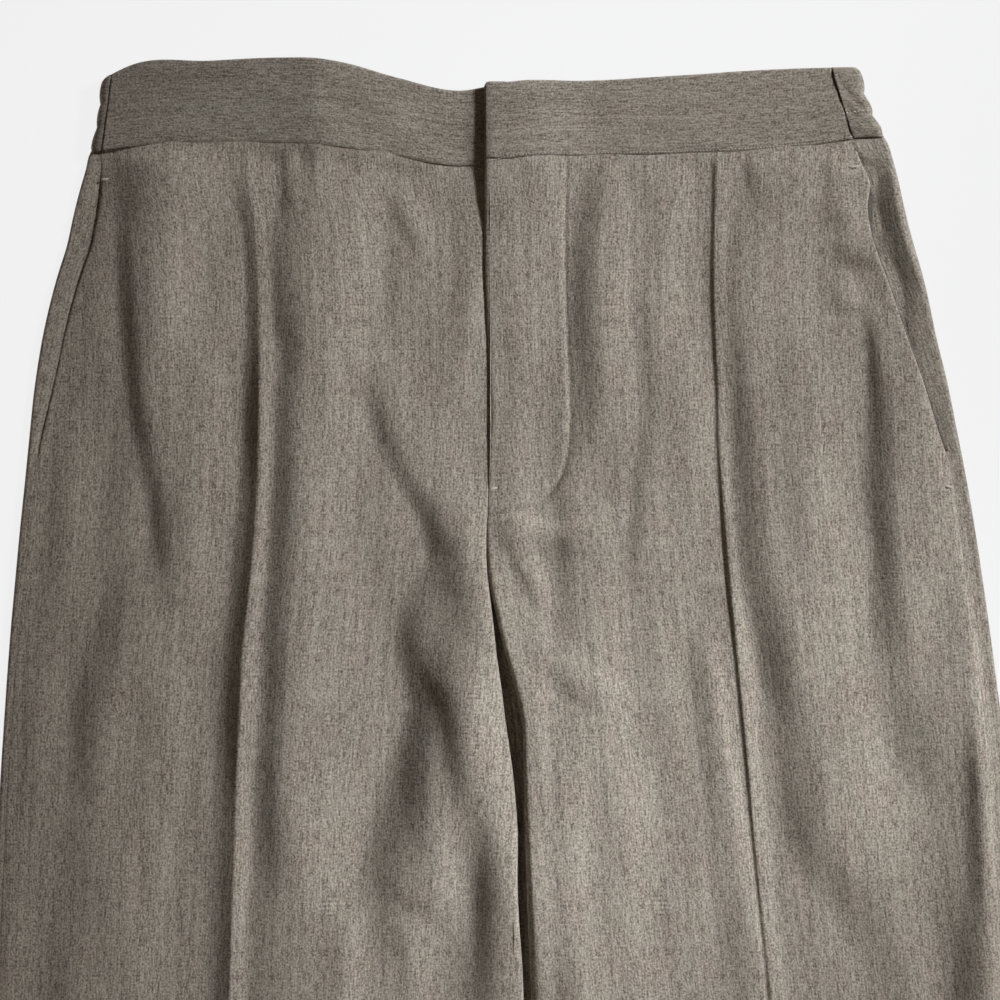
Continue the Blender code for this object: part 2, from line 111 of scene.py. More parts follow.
# The outline and the lines down each leg. "out" is the outer fold, "strip" how far the back comes
# round onto the front, "crease" the pintuck and "inner" the fold between the legs, all counted
# outwards from the centre line. "rise" is the height of the inner fold, "round" how far in its
# shoulder reaches, and "inseam" how far up the cloth the seam on it lies above its middle.
LEGS = {
    "right": named(
        "down out strip crease inner rise round inseam",
        (29, 205, 1, 131.5, 0, 5.9, 3, 0), (38, 213.6, 5, 131.5, 0, 5.9, 3, 0),
        (48, 216.5, 9, 131.3, 0, 5, 3, 0), (60, 220, 12.5, 129.8, 0, 4.6, 3, 0),
        (72, 223, 13.8, 127.3, 0, 4.3, 3, 0), (88, 226.5, 14, 126.2, 0, 4.2, 3, 0),
        (104, 231.5, 13.4, 125.4, 0, 4.2, 3, 0), (125, 237, 12.6, 124.8, 0, 4.2, 3, 0),
        (165, 244, 10.8, 124.4, 0, 4.2, 3, 0), (190, 246.6, 7.5, 124.6, 0, 4.6, 3, 0),
        (212, 248.8, 5.4, 125.1, 0.4, 5, 1.6, 0), (243, 252, 5, 126.9, 2, 7, 1.3, 0),
        (262, 253.8, 4.8, 128.6, 1.5, 8.8, 1.2, 0), (275, 255, 4.6, 129.9, 0, 10, 1.2, 0),
        (287, 256.1, 4.4, 131.2, -1.5, 10.8, 1, 0), (307, 257.7, 4.2, 133.2, -3.7, 11.5, 1, 0),
        (322, 258.8, 4, 134, -5.9, 11.8, 1, 0), (340, 260, 4, 134.8, -8.2, 12, 1, 0),
        (371, 262, 4, 136.4, -12.5, 12.5, 1, 0), (400, 263.5, 4, 137.3, -14.8, 12, 1.1, 0),
        (430, 265, 4, 138.3, -14.8, 11, 1.1, 3), (490, 267, 4, 140.3, -18, 10, 1.2, 7),
        (640, 269, 5, 145, -2, 8.5, 4, 9), (820, 270, 5.5, 150, 23, 6.5, 3, 7),
        (1000, 271, 5.5, 155, 46, 5.4, 2.4, 5)
    ),
    "left": named(
        "down out strip crease inner rise round inseam",
        (29, 202, 12, 119.7, 0, 5.9, 3, 0), (38, 210.6, 18, 119.7, 0, 5.7, 3, 0),
        (52, 216.2, 18.4, 119.5, 0, 5, 3, 0), (62, 218.8, 16.6, 119.4, 0, 4.6, 3, 0),
        (72, 221, 20, 119.2, 0, 4.4, 3, 0), (88, 225, 22, 118.8, 0, 4.2, 3, 0),
        (115, 233, 20.4, 118.9, 0, 4.2, 3, 0), (142, 239, 17, 119.8, 0, 4.2, 3, 0),
        (165, 244.8, 14.2, 121, 0, 4.2, 3, 0), (190, 250, 11.2, 121.4, 0, 4.6, 3, 0),
        (212, 254.5, 8.2, 122.8, -0.4, 5, 2.5, 0), (243, 260, 9, 125.2, -2, 7, 2, 0),
        (262, 263, 9.2, 126.9, -1.2, 8.5, 2, 0), (275, 265, 9.6, 128, 0.8, 9.6, 2, 0),
        (287, 266.6, 9.8, 129.2, 3.8, 10.6, 1.6, 0), (300, 268.4, 9.9, 130.5, 6.8, 11.3, 1.4, 0),
        (325, 271.6, 9.9, 133, 13.8, 12, 1.3, 0), (337, 273.2, 9.8, 134.2, 16.4, 12, 1.3, 0),
        (371, 275.5, 9.2, 137.5, 18, 12, 1.6, 0), (400, 277, 8.5, 140, 18.6, 12, 2.4, 0),
        (430, 278.5, 8, 142.9, 19.6, 11.6, 3.6, 0), (490, 281, 7.5, 149.2, 22.2, 11, 7, 0),
        (640, 284, 6, 159, 36, 8, 10, 0), (820, 286, 6, 168, 50, 6.5, 5, 0),
        (1000, 287, 6, 176, 63, 5.4, 2.4, 0)
    ),
}

# The waistband from side to side: its top edge, the seam under it, how high it waves there, and how
# much higher its top edge stands than its seam
WAISTLINE = named(
    "across top seam wave lean",
    (-214, 3, 37.4, 0, 1), (-190, -8.8, 34, 0.6, 3), (-150, -10.4, 32, 1.4, 4.5),
    (-112, -12, 32.4, 2.6, 4.5), (-92, -11.6, 33.2, 4.4, 3.5), (-78, -9.4, 35, 3.8, 2.6),
    (-50, -1.6, 39.5, 2, 2), (-15, 5.2, 44.5, 0, 1.5), (0, 3, 43, 0, 1.5), (12, 0.8, 40.6, 0, 2),
    (50, 0.2, 39, 0.5, 2.6), (100, -2.6, 38, 1.2, 3), (150, -5.8, 35.5, 0.8, 3), (176, -6.8, 33, 0.4, 2.2),
    (196, -7, 29.8, 0.2, 1.5), (215, -6, 29, 0, 1)
)

# The folds of the front. Each has how far its foot reaches to the right of its crest, then the crest's
# points: across, down, how far the fold rises there, and how far its foot reaches to the left. A fifth
# number is that point's own reach to the right.
FOLD_COLUMNS = ("across", "down", "rise", "left", "right")
CREST_STEPS = 8  # points from one of the crest's rows to the next
CREST_END = 12  # how far past its last row a crest fades out
FOLDS = {
    "right": dict(
        shin_branch=(50, [
            (-60, 430, 0, 12), (-66, 440, 2, 13), (-70, 450, 3.6, 14), (-74, 460, 3.8, 13),
            (-76, 479, 3, 13), (-78, 500, 2, 13), (-80, 520, 0, 12)]),
        shin_shade=(20, [
            (-10, 318, 0, 40), (-9, 340, 3.6, 42), (-7, 372, 5, 44), (-4, 400, 4.4, 40), (0, 425, 2, 34),
            (4, 445, 0, 30)]),
        side_shade=(44, [
            (-172, 28, 3, 36), (-172, 44, 5.6, 38), (-174, 58, 6, 38), (-178, 72, 5, 38), (-184, 92, 4, 36),
            (-184, 130, 3, 34), (-182, 160, 1.6, 34), (-182, 190, 0, 34)]),
        side_drape=(44, [
            (-174, 38, 0, 30), (-176, 46, 1.6, 28), (-179, 56, 2.6, 24), (-183, 68, 3.4, 20),
            (-186, 80, 3.9, 16), (-188, 94, 4.2, 14), (-187, 115, 4.5, 14), (-185, 136, 4.8, 14),
            (-181, 168, 5.4, 15), (-175, 195, 5.8, 16), (-171.5, 222, 5.4, 14), (-169.5, 249, 4, 13),
            (-170, 262, 2, 12), (-172, 282, 0, 12)]),
        side_hook=(46, [
            (-172, 240, 0, 20), (-177, 262, 3.6, 24), (-181, 275, 5, 26), (-189, 290, 5.4, 25),
            (-194, 302, 5.4, 23), (-198, 318, 5, 24), (-201, 329, 4.6, 24), (-213, 356, 2.6, 20),
            (-226, 380, 0, 18)]),
        side_lower=(50, [
            (-200, 340, 0, 20), (-206, 370, 2, 22), (-210, 400, 2.4, 24), (-212, 470, 2.4, 24),
            (-214, 600, 2.6, 24), (-208, 800, 2.4, 24), (-204, 940, 0, 22)]),
        beside_tuck=(45, [
            (-131, 46, 0, 9), (-129, 61, 1.2, 9), (-125, 80, 1.8, 9), (-123.5, 100, 2, 9),
            (-122.5, 125, 2.2, 10), (-122, 165, 2.8, 12), (-122.5, 190, 3, 12), (-124, 211, 3.2, 12),
            (-126, 243, 3.4, 13), (-129, 275, 3.6, 13), (-132, 307, 3.6, 13), (-134, 340, 3.6, 13),
            (-135.5, 372, 3.6, 13), (-137, 404, 3.6, 13), (-139.5, 468, 3.6, 13), (-142, 560, 3.4, 13),
            (-147, 680, 3, 14), (-151, 820, 2.4, 15), (-155, 940, 0, 16)]),
        front_bulge=(42, [
            (-91, 14, 2, 9), (-91, 40, 3.6, 12), (-91, 52, 5, 18), (-92, 66, 6.4, 24), (-94, 84, 7.2, 27),
            (-95, 100, 7.2, 27), (-95, 115, 7.2, 26), (-95, 128, 7, 24), (-95, 140, 7, 21),
            (-97, 155, 7, 18), (-99, 168, 7, 18), (-100, 195, 7.2, 18), (-101, 222, 7.2, 19),
            (-103, 249, 7.2, 19), (-104, 275, 7.2, 19), (-105.5, 302, 7.2, 19), (-106.5, 329, 7, 18),
            (-107, 356, 7, 19), (-106.5, 382, 7.2, 21), (-104, 409, 7.4, 25), (-101, 436, 7.4, 30),
            (-100, 463, 7.2, 32), (-101, 484, 6.6, 32), (-105, 540, 5.4, 30), (-112, 640, 4, 26),
            (-118, 780, 2.4, 24), (-122, 880, 0, 24)]),
        tuck_pleat=(9, [(-108, 34, 1.2, 6), (-107, 46, 2, 6), (-107, 60, 1.6, 6), (-108, 76, 0, 6)]),
        slant_to_crotch=(34, [
            (-66, 140, 0, 14), (-62, 155, 2, 15), (-56, 168, 2.8, 15), (-50, 184, 3.2, 14),
            (-45, 195, 3.4, 14), (-40, 206, 3.6, 14), (-34, 217, 3.8, 14), (-27, 227, 4.2, 15),
            (-21, 238, 4.9, 19), (-14, 250, 5.8, 25), (-12, 262, 6.8, 32), (-12, 275, 7.4, 36),
            (-12, 300, 6.8, 34), (-13, 318, 5.6, 27), (-13, 332, 4.4, 18), (-12, 348, 4, 15),
            (-10, 364, 4, 15), (-7, 378, 3.6, 16), (-3, 392, 1.8, 17), (1, 404, 0, 17)]),
        shin_valley=(30, [
            (-28, 272, 0, 12), (-35, 287, 3, 15), (-36, 300, 4.4, 17), (-31, 314, 5.2, 18),
            (-23, 329, 6.6, 23), (-22, 345, 7.8, 27), (-24, 361, 9, 31), (-28, 382, 10, 33),
            (-32, 400, 10.6, 34), (-34, 415, 10.6, 35), (-35, 427, 10.6, 38), (-36, 437, 9.4, 40),
            (-38, 446, 6.5, 38), (-40, 456, 3.2, 32), (-41, 468, 0, 28)]),
        second_spread=(24, [
            (-44, 446, 0, 9), (-43, 460, 1.7, 9), (-40, 480, 1.9, 9), (-38, 520, 1.6, 10),
            (-36, 620, 0, 12)]),
        inner_edge=(34, [
            (-4, 386, 0, 22), (0, 400, 2.8, 24), (2.5, 414, 3.8, 22), (4, 436, 4, 18), (4.5, 463, 3.6, 15),
            (4, 484, 3.2, 15), (0, 560, 2.4, 18), (-16, 680, 1.6, 20), (-34, 800, 0, 20)]),
        fly_side=(14, [
            (-8, 90, 0, 10), (-8, 102, 1, 12), (-8, 115, 2.4, 14), (-8, 128, 2.4, 15), (-9, 142, 1.2, 14),
            (-10, 156, 0, 14)]),
        band_slant=(11, [
            (-56, 50, 0, 6), (-50, 62, 1, 6), (-43, 75, 1.7, 8), (-37, 84, 0.9, 8), (-32, 92, 0, 8)]),
        lower_front=(42, [
            (-66, 560, 0, 20), (-74, 680, 3, 22), (-88, 820, 3.4, 24), (-98, 940, 1.8, 24),
            (-100, 980, 0, 24)]),
    ),
    "left": dict(
        front_swell=(44, [
            (46, 200, 0, 16), (46, 240, 2.8, 16), (48, 300, 4.2, 18), (50, 380, 4.2, 20),
            (52, 460, 4.2, 20), (52, 510, 4, 20), (52, 560, 0, 20)]),
        side_rim=(10, [
            (250, 262, 0, 24), (256, 285, 2, 26), (258, 310, 2.8, 26), (261, 371, 3, 26), (264, 430, 3, 26),
            (267, 490, 3, 26), (268, 530, 0, 26)]),
        beyond_tuck=(50, [
            (172, 112, 0, 18), (171, 142, 1.6, 20), (172, 168, 2.2, 20), (172, 195, 2.2, 20),
            (174, 222, 2, 20), (176, 249, 1.2, 18), (178, 268, 0, 18)]),
        hip_lower=(14, [(178, 108, 0, 9), (186, 114, 1.6, 10), (193, 116, 1.6, 10), (200, 115, 0, 9)]),
        hip_upper=(14, [(176, 64, 0, 9), (184, 69, 1.9, 11), (192, 71, 2.3, 11), (200, 69, 0, 9)]),
        beside_fly=(26, [
            (68, 30, 0, 18, 50), (68, 42, 0.8, 18, 50), (68, 61, 2.4, 20, 46), (64, 75, 3.4, 20, 40),
            (60, 88, 4.2, 18, 32), (59.5, 102, 4.8, 17), (59.5, 115, 5, 17), (59, 128, 5, 17),
            (59.5, 142, 5, 16), (60, 168, 4.8, 16), (58, 190, 3.8, 15), (54, 204, 2, 14),
            (48, 216, 0, 14)]),
        mid_front=(30, [
            (87, 95, 0, 12), (88, 115, 1.8, 12), (88, 128, 3, 13), (88, 142, 3.6, 13), (90, 168, 3.6, 14),
            (90, 195, 3.8, 14), (88, 222, 3.4, 14), (86, 238, 3.4, 13), (84, 249, 3.2, 12),
            (82, 262, 1.8, 11), (80, 280, 0, 10)]),
        under_fly=(10, [
            (0, 231, 1.6, 12), (10, 237, 2.6, 14), (22, 241, 3, 15), (36, 243, 3.2, 15), (50, 241, 2.8, 14),
            (62, 235, 1.8, 12), (74, 223, 0, 10)]),
        crotch_slant=(10, [
            (7, 242, 0, 5), (13, 250, 1.5, 7), (20, 261, 2, 8), (26, 273, 1.8, 8), (33, 290, 0, 8)]),
        thigh_curve=(16, [
            (18, 290, 0, 8), (32, 306, 1.6, 11), (46, 320, 2.2, 13), (62, 330, 1.6, 12), (78, 334, 0, 11)]),
        beside_tuck=(8, [
            (114, 280, 0, 14), (115, 297, 1.4, 15), (118, 318, 2.2, 15), (120, 329, 2.4, 15),
            (124, 356, 2.4, 15), (128, 382, 2.6, 16), (133, 409, 2, 18), (136, 436, 1.8, 20),
            (140, 463, 1.8, 20), (142, 484, 1.8, 20), (150, 640, 1.4, 20), (160, 820, 0, 20)]),
        tuck_to_knee=(55, [
            (160, 30, 1.6, 27), (158, 52, 3.2, 27), (154, 66, 3.6, 26), (149, 80, 3.8, 24),
            (145, 95, 4, 23), (142, 115, 4.3, 22), (142, 128, 4.6, 22), (142, 142, 4.9, 22),
            (143, 168, 5.1, 22), (145, 195, 5.4, 22), (149, 222, 6.1, 24), (154, 249, 7, 27),
            (161, 275, 7.8, 28), (166, 297, 8.2, 27), (170, 318, 8, 27), (174, 329, 7.8, 28),
            (177, 356, 7.6, 30), (180, 382, 7.6, 31), (187, 409, 6.6, 27), (205, 436, 3.2, 26),
            (220, 460, 0, 24)]),
        hip_patch=(16, [
            (182, 82, 0, 10), (191, 87, 2.4, 12), (200, 90, 3.6, 14), (208, 91, 2.8, 13),
            (217, 90, 0, 11)]),
        pocket_drape=(46, [
            (208, 116, 0, 9), (208, 128, 2.6, 9), (210, 142, 4.6, 10), (213, 158, 6, 13), (216, 172, 7, 17),
            (219, 195, 7.4, 21), (220, 222, 7.6, 21), (221, 243, 7.6, 19), (221.5, 258, 7.6, 20),
            (222, 278, 7.8, 22), (224, 297, 7.6, 24), (227, 318, 7, 26), (230, 329, 6.6, 27),
            (238, 356, 4.6, 26), (246, 380, 0, 24)]),
        outer_valley=(24, [
            (256, 305, 0, 14), (261, 329, 1.5, 14), (264, 350, 3.4, 14), (265, 361, 4.4, 14),
            (268, 382, 5.2, 15), (269, 409, 5.8, 17), (271, 436, 5.8, 19), (268, 455, 4.2, 20),
            (268, 484, 3.6, 22), (262, 520, 2.6, 20), (256, 560, 0, 20)]),
        knee_outer=(44, [
            (236, 460, 0, 20), (234, 520, 2, 22), (236, 640, 3, 24), (240, 800, 2.4, 24),
            (238, 930, 0, 22)]),
        knee_inner=(50, [
            (96, 470, 0, 24), (92, 540, 2, 26), (100, 680, 3, 28), (116, 820, 2.6, 28), (124, 950, 0, 26)]),
        band_dip_outer=(14, [(182, 34, 0.7, 7), (184, 48, 1.8, 8), (185, 58, 0.8, 8), (186, 68, 0, 8)]),
        band_dip_inner=(14, [(141, 34, 0.8, 6), (142, 48, 1.8, 7), (143, 58, 1, 7), (144, 68, 0, 7)]),
        band_dip_front=(14, [(78, 34, 0.5, 6), (79, 48, 1.2, 7), (80, 62, 0, 7)]),
        under_band=(16, [(10, 46, 0, 8), (9, 60, 1.2, 8), (8, 72, 1.6, 8), (10, 86, 0, 8)]),
    ),
}

# The sewn pintuck: how high it stands, its steep side on the viewer's left, and its soft side
TUCK_HEIGHT = {
    "right": named("down height", (36, 0.6), (80, 1.1), (110, 1.5), (165, 2.2), (600, 2.4), (1000, 1.8)),
    "left": named("down height", (36, 1.2), (150, 1.6), (250, 2), (400, 1.6), (600, 1.6), (1000, 1.4)),
}
TUCK_STEEP = {"right": 8, "left": 3}
TUCK_CREST = 1.2
TUCK_SOFT = 9

# How far the cloth takes to come to rest from the waist, the side fold and the fold between the legs
WAIST_REACH = 40
SIDE_REACH = 40
INNER_REACH = 42
FLAT_START = 15  # how far from the centre a section's own first stretch ends
LEGS_PART = (520, 640)  # where the cloth between the legs comes to an end, down the legs

# Rows of the mesh, as (from, to, step), and columns in each stretch of a section
FRONT_ROWS = [(WAIST - 9, WAIST, 3), (WAIST, 60, 2), (60, 200, 2.9), (200, 246, 1.5),
              (246, 500, 3), (500, HEM, 6.5)]
FRONT_COLUMNS = dict(turn=7, inner=18, fly=12, stitch=10, belly=38, tuck=20, side=62)
DENSE = 60
STITCH_COLUMNS = (-5, 4)  # the columns lie closer from here to here about the fly's stitches
TUCK_COLUMNS = (-4, 8)  # and about the pintuck


def ease(start, end, value):
    """Smooth step from 0 at start to 1 at end."""
    t = np.minimum(np.maximum((value - start) / (end - start), 0), 1)
    return t * t * (3 - 2 * t)


def between(start, end, value):
    """1 between two places and 0 outside them. Each place is given as where its step starts and ends."""
    return ease(*start, value) * (1 - ease(*end, value))


class Curves:
    """A table whose columns are smooth curves through its rows, over the column named as its key."""

    def __init__(self, key, rows):
        self.knots = np.array([row[key] for row in rows], float)
        self.marks = {name: np.array([row[name] for row in rows], float) for name in rows[0]}
        self.slopes = {name: np.gradient(marks, self.knots) for name, marks in self.marks.items()}

    def at(self, column, value):
        marks, slopes, knots = self.marks[column], self.slopes[column], self.knots
        value = np.minimum(np.maximum(value, knots[0]), knots[-1])
        i = np.minimum(np.maximum(np.searchsorted(knots, value) - 1, 0), len(knots) - 2)
        span = knots[i + 1] - knots[i]
        t = (value - knots[i]) / span
        rising = marks[i] * (1 + 2 * t) * (1 - t) ** 2 + marks[i + 1] * t * t * (3 - 2 * t)
        return rising + span * (slopes[i] * t * (1 - t) ** 2 - slopes[i + 1] * t * t * (1 - t))


LEG_CURVES = {side: Curves("down", rows) for side, rows in LEGS.items()}
WAIST_CURVES = Curves("across", WAISTLINE)
TUCK_CURVES = {side: Curves("down", rows) for side, rows in TUCK_HEIGHT.items()}
FLY_EDGE_CURVE = Curves("down", FLY_EDGE)


def leg(side, column, down):
    return LEG_CURVES[side].at(column, down)


def waist(column, across):
    return WAIST_CURVES.at(column, across)


# Where the garment's frame lies in the part's frame, from the part's own box
MIDDLE = (leg("left", "out", 1000) - leg("right", "out", 1000)) / 2
TOP_EDGE = min(row["top"] for row in WAISTLINE)
WAIST_LINE = cad_box[1].y / MM + TOP_EDGE


def place(grid):
    """Points given as (across, down, height) in millimetres, in the part's frame in metres."""
    grid = np.asarray(grid, float)
    return np.stack([grid[..., 0] - MIDDLE, WAIST_LINE - grid[..., 1], grid[..., 2]], axis=-1) * MM


def fold_lines(folds):
    """Each fold's crest as closely spaced points on a smooth curve, with its rise and its feet."""
    lines = []
    for right, rows in folds.values():
        steps = np.linspace(0, len(rows) - 1, CREST_STEPS * (len(rows) - 1) + 1)
        points = [dict(zip(FOLD_COLUMNS, (*row, right)), point=k) for k, row in enumerate(rows)]
        table = Curves("point", points)
        lines.append({name: table.at(name, steps) for name in FOLD_COLUMNS})
    return lines


FOLD_LINES = {side: fold_lines(folds) for side, folds in FOLDS.items()}


def fold_height(line, across, down):
    """How much a fold lifts the cloth at each point."""
    reach = max(line["left"].max(), line["right"].max())
    height = np.zeros(len(across))
    near_by = ((across > line["across"].min() - reach) & (across < line["across"].max() + reach)
               & (down > line["down"].min() - reach) & (down < line["down"].max() + reach))
    if not near_by.any():
        return height
    dx = across[near_by, None] - line["across"][None, :]
    dy = down[near_by, None] - line["down"][None, :]
    near = np.argmin(dx * dx + dy * dy, axis=1)
    pick = np.arange(len(near))
    ahead_x = np.gradient(line["across"])[near]
    ahead_y = np.gradient(line["down"])[near]
    length = np.hypot(ahead_x, ahead_y)
    beside = (ahead_y * dx[pick, near] - ahead_x * dy[pick, near]) / length
    past = (ahead_x * dx[pick, near] + ahead_y * dy[pick, near]) / length
    at_end = (near == 0) | (near == len(line["down"]) - 1)
    foot = np.where(beside < 0, line["left"][near], line["right"][near])
    share = np.clip(np.abs(beside) / foot, 0, 1)
    fade = np.where(at_end, 1 - ease(0, CREST_END, np.abs(past)), 1)
    height[near_by] = np.maximum(line["rise"][near], 0) * (1 - share**2) ** 2 * fade
    return height


# Slow uneven waves that cloth has even where it lies flat: the wave lengths each way and the height
WAVES = dict(count=14, across=(26, 80), along=(90, 320), height=0.16)
wave_maker = np.random.default_rng(11)
WAVE_LIST = [
    dict(kx=2 * math.pi / wave_maker.uniform(*WAVES["across"]),
         ky=2 * math.pi / wave_maker.uniform(*WAVES["along"]) * wave_maker.choice([-1, 1]),
         phase=wave_maker.uniform(0, 2 * math.pi))
    for _ in range(WAVES["count"])
]


def waves(across, down):
    total = sum(np.sin(w["kx"] * across + w["ky"] * down + w["phase"]) for w in WAVE_LIST)
    return WAVES["height"] * total


# The folds and the waves of each front together, at the points of an even net: where the net starts,
# its step, and how many points it has each way
NET = dict(out=-40, down=16, step=1.5, across=224, along=672)


def fold_net(side):
    out = NET["out"] + NET["step"] * np.arange(NET["across"])
    level, wide = np.meshgrid(NET["down"] + NET["step"] * np.arange(NET["along"]), out, indexing="ij")
    across, down = SIGN[side] * wide.ravel(), level.ravel()
    total = sum(fold_height(line, across, down) for line in FOLD_LINES[side]) + waves(across, down)
    return total.reshape(NET["along"], NET["across"])


FOLD_NETS = {side: fold_net(side) for side in FOLDS}


def folds_at(side, out, down):
    """The net's height at any point, straight between the net's points."""
    net = FOLD_NETS[side]
    x = np.clip((out - NET["out"]) / NET["step"], 0, NET["across"] - 1.001)
    y = np.clip((down - NET["down"]) / NET["step"], 0, NET["along"] - 1.001)
    i, j = x.astype(int), y.astype(int)
    x, y = x - i, y - j
    upper = net[j, i] * (1 - x) + net[j, i + 1] * x
    return upper * (1 - y) + (net[j + 1, i] * (1 - x) + net[j + 1, i + 1] * x) * y


def row_down(side, row, across, seam):
    """Where a row of the mesh lies: it follows the waist seam at the top and the sloping hem below."""
    if row <= CROTCH:
        return seam + (row - WAIST) / (CROTCH - WAIST) * (CROTCH - seam)
    low = (row - CROTCH) / (HEM - CROTCH)
    slope = -HEM_SLOPE[side] * SIGN[side] * low
    return row + slope * (across - SIGN[side] * leg(side, "crease", row))


def tuck_height(side, across, down):
    """The pintuck: a narrow sewn ridge, steep on the viewer's left."""
    beside = across - SIGN[side] * leg(side, "crease", down) - TUCK_CREST
    foot = np.where(beside < 0, TUCK_STEEP[side], TUCK_SOFT)
    share = np.clip(np.abs(beside) / foot, 0, 1)
    return TUCK_CURVES[side].at("height", down) * (1 - share) ** 2 * np.where(beside < 0, 1, 1 + 2 * share)


def calm_height(side, out, down):
    """Height of the middle of the upper layer before its folds: it rises to the bands and the edges."""
    edge = leg(side, "out", down) - out
    inner = out - leg(side, "inner", down)
    high = REST_LAYER + (BAND_LAYER - REST_LAYER) * (1 - ease(WAIST, WAIST + WAIST_REACH, down))
    high = high + (SIDE_FOLD[side] + puffed(side, down) - high) * (1 - ease(0, SIDE_REACH, edge))
    return high + (leg(side, "rise", down) - high) * (1 - ease(0, INNER_REACH, inner))


# The curved row of stitches that holds the fly's facing, from the waist seam to the centre seam
FLY_STITCH = named(
    "step out down",
    (0, 40.6, 41), (1, 40.1, 92), (2, 41.4, 140), (3, 42.7, 174), (4, 41.2, 200), (5, 35, 216),
    (6, 22, 228), (7, -0.5, 233)
)
FLY_GROOVE = dict(depth=0.95, width=1.5, turn=0.9)  # deeper by the share "turn" where the row turns in
FLY_GROOVE_REACH = dict(out=48, down=242)
FLY_STEPS = np.linspace(0, 7, 141)
FLY_LINE = np.stack([Curves("step", FLY_STITCH).at(name, FLY_STEPS) for name in ("out", "down")], axis=1)


def fly_groove(out, down):
    """How deep the fly's stitches pull the cloth down along their line."""
    depth = np.zeros(len(out))
    close = (out < FLY_GROOVE_REACH["out"]) & (down < FLY_GROOVE_REACH["down"])
    if close.any():
        spots = np.stack([out[close], down[close]], axis=1)
        gap = np.sqrt(((spots[:, None] - FLY_LINE[None]) ** 2).sum(axis=2)).min(axis=1)
        depth[close] = FLY_GROOVE["depth"] * np.exp(-(gap / FLY_GROOVE["width"]) ** 2)
        depth[close] *= 1 + FLY_GROOVE["turn"] * ease(200, 226, down[close])
    return depth


def puffed(side, down):
    """How much higher the front stands beside the pocket than the side fold does."""
    return SIDE_PUFF[side] * between((MOUTH_TOP, MOUTH_TOP + 20), (110, 190), down)


def lap_slope(out, down):
    """How much the right side rises towards the lap that lies on it."""
    near = (FLY_EDGE_CURVE.at("lap", down) - out) / FLY_EDGE_CURVE.at("foot", down) + 1
    return FLY_EDGE_CURVE.at("under", down) * np.clip(near, 0, 1) ** 1.5


# How much of the folds the waist seam and the hem take out, and how far from each
HELD = dict(waist=0.85, hem=0.5)
HELD_WIDTH = dict(waist=11, hem=60)
# How far the lap's edge rolls down, and over what width
LAP_DROOP = 0.5
LAP_ROLL = 2.5
# How far down the fly the lap stands up, its edge is rolled and the side under it rises to meet it
LAP_ENDS = dict(lap=(FLY_END - 6, FLY_END + 26), roll=(FLY_END - 30, FLY_END - 12),
                under=(FLY_END - 30, FLY_END + 10))


def rolled(out, down):
    """The roll of the lap's edge: 1 at the edge and 0 from LAP_ROLL inside it."""
    inside = np.clip((out + FLY_EDGE_CURVE.at("lap", down)) / LAP_ROLL, 0, 1)
    return (1 - inside) ** 2


def front_height(side, out, down):
    """Height of the middle of the upper layer, with its folds, its pintuck and the lap of the fly."""
    across = SIGN[side] * out
    edge = leg(side, "out", down) - out
    high = calm_height(side, out, down)
    folds = folds_at(side, out, down) + tuck_height(side, across, down)
    # The seams hold the cloth down: at the side, the waist, the hem and the fly.
    seam = waist("seam", across)
    at_waist = 1 - ease(0, HELD_WIDTH["waist"], down - seam)
    at_hem = ease(HEM - HELD_WIDTH["hem"], HEM, down)
    at_fly = (1 - ease(-2, 14, out)) * (1 - ease(CROTCH - 50, CROTCH - 10, down))
    free = ease(2, 15, edge) * (1 - HELD["waist"] * at_waist) * (1 - HELD["hem"] * at_hem) * (1 - at_fly)
    high = high + folds * free + waist("wave", across) * at_waist
    if side == "left":
        wide = FLY_WIDTH * (1.6 - 0.6 * ease(0, 40, down - seam))
        lap = (1 - ease(FLY_WIDTH * 0.3, wide, out)) * (1 - ease(*LAP_ENDS["lap"], down))
        high = high + FLY_EDGE_CURVE.at("rise", down) * lap
        high = high - fly_groove(out, down)
        return high - LAP_DROOP * rolled(out, down) * (1 - ease(*LAP_ENDS["roll"], down))
    return high + lap_slope(out, down) * (1 - ease(*LAP_ENDS["under"], down))


def run_along(points, axis=0):
    """How far along its line each point lies, for lines that run along this axis."""
    steps = np.linalg.norm(np.diff(points, axis=axis), axis=-1)
    return np.insert(np.cumsum(steps, axis=axis), 0, 0, axis=axis)


def clean(points):
    """Drops points that repeat the one before."""
    kept = [points[0]]
    for point in points[1:]:
        if math.dist(point, kept[-1]) > 0.01:
            kept.append(point)
    return np.array(kept)


def spread(points, pieces):
    """The points of a run respaced evenly by length, as the ends of this many pieces."""
    line = clean(points)
    run = run_along(line)
    at = np.linspace(0, run[-1], pieces + 1)
    return np.stack([np.interp(at, run, line[:, k]) for k in range(line.shape[1])], axis=1)


def join(stretches):
    """Stretches of a section, one after the other, with their shared ends once."""
    return np.concatenate([stretches[0]] + [stretch[1:] for stretch in stretches[1:]])


def turned_under(edge, before, reach, pieces):
    """Points that carry a section on past its edge, round and back underneath, from the edge on."""
    along = (edge - before) / np.linalg.norm(edge - before)
    below = np.array([along[1], -along[0]]) if along[0] > 0 else np.array([-along[1], along[0]])
    turn = [edge + TURN * (along * math.sin(a) + below * (1 - math.cos(a)))
            for a in np.linspace(0, math.pi, 7)]
    turn.append(turn[-1] - along * reach)
    return spread(turn, pieces)


def upper_run(side, row, start, end, count):
    """Evenly spaced points on the upper layer between two places on a row: (out, height)."""
    out = np.linspace(start, end, count)
    across = SIGN[side] * out
    down = row_down(side, row, across, waist("seam", across))
    return np.stack([out, front_height(side, out, down)], axis=1)


def curl(down):
    """How far the panels have turned on edge between the legs: 0 flat, 1 at the crotch and below."""
    return float(ease(CROTCH - 80, CROTCH, down))


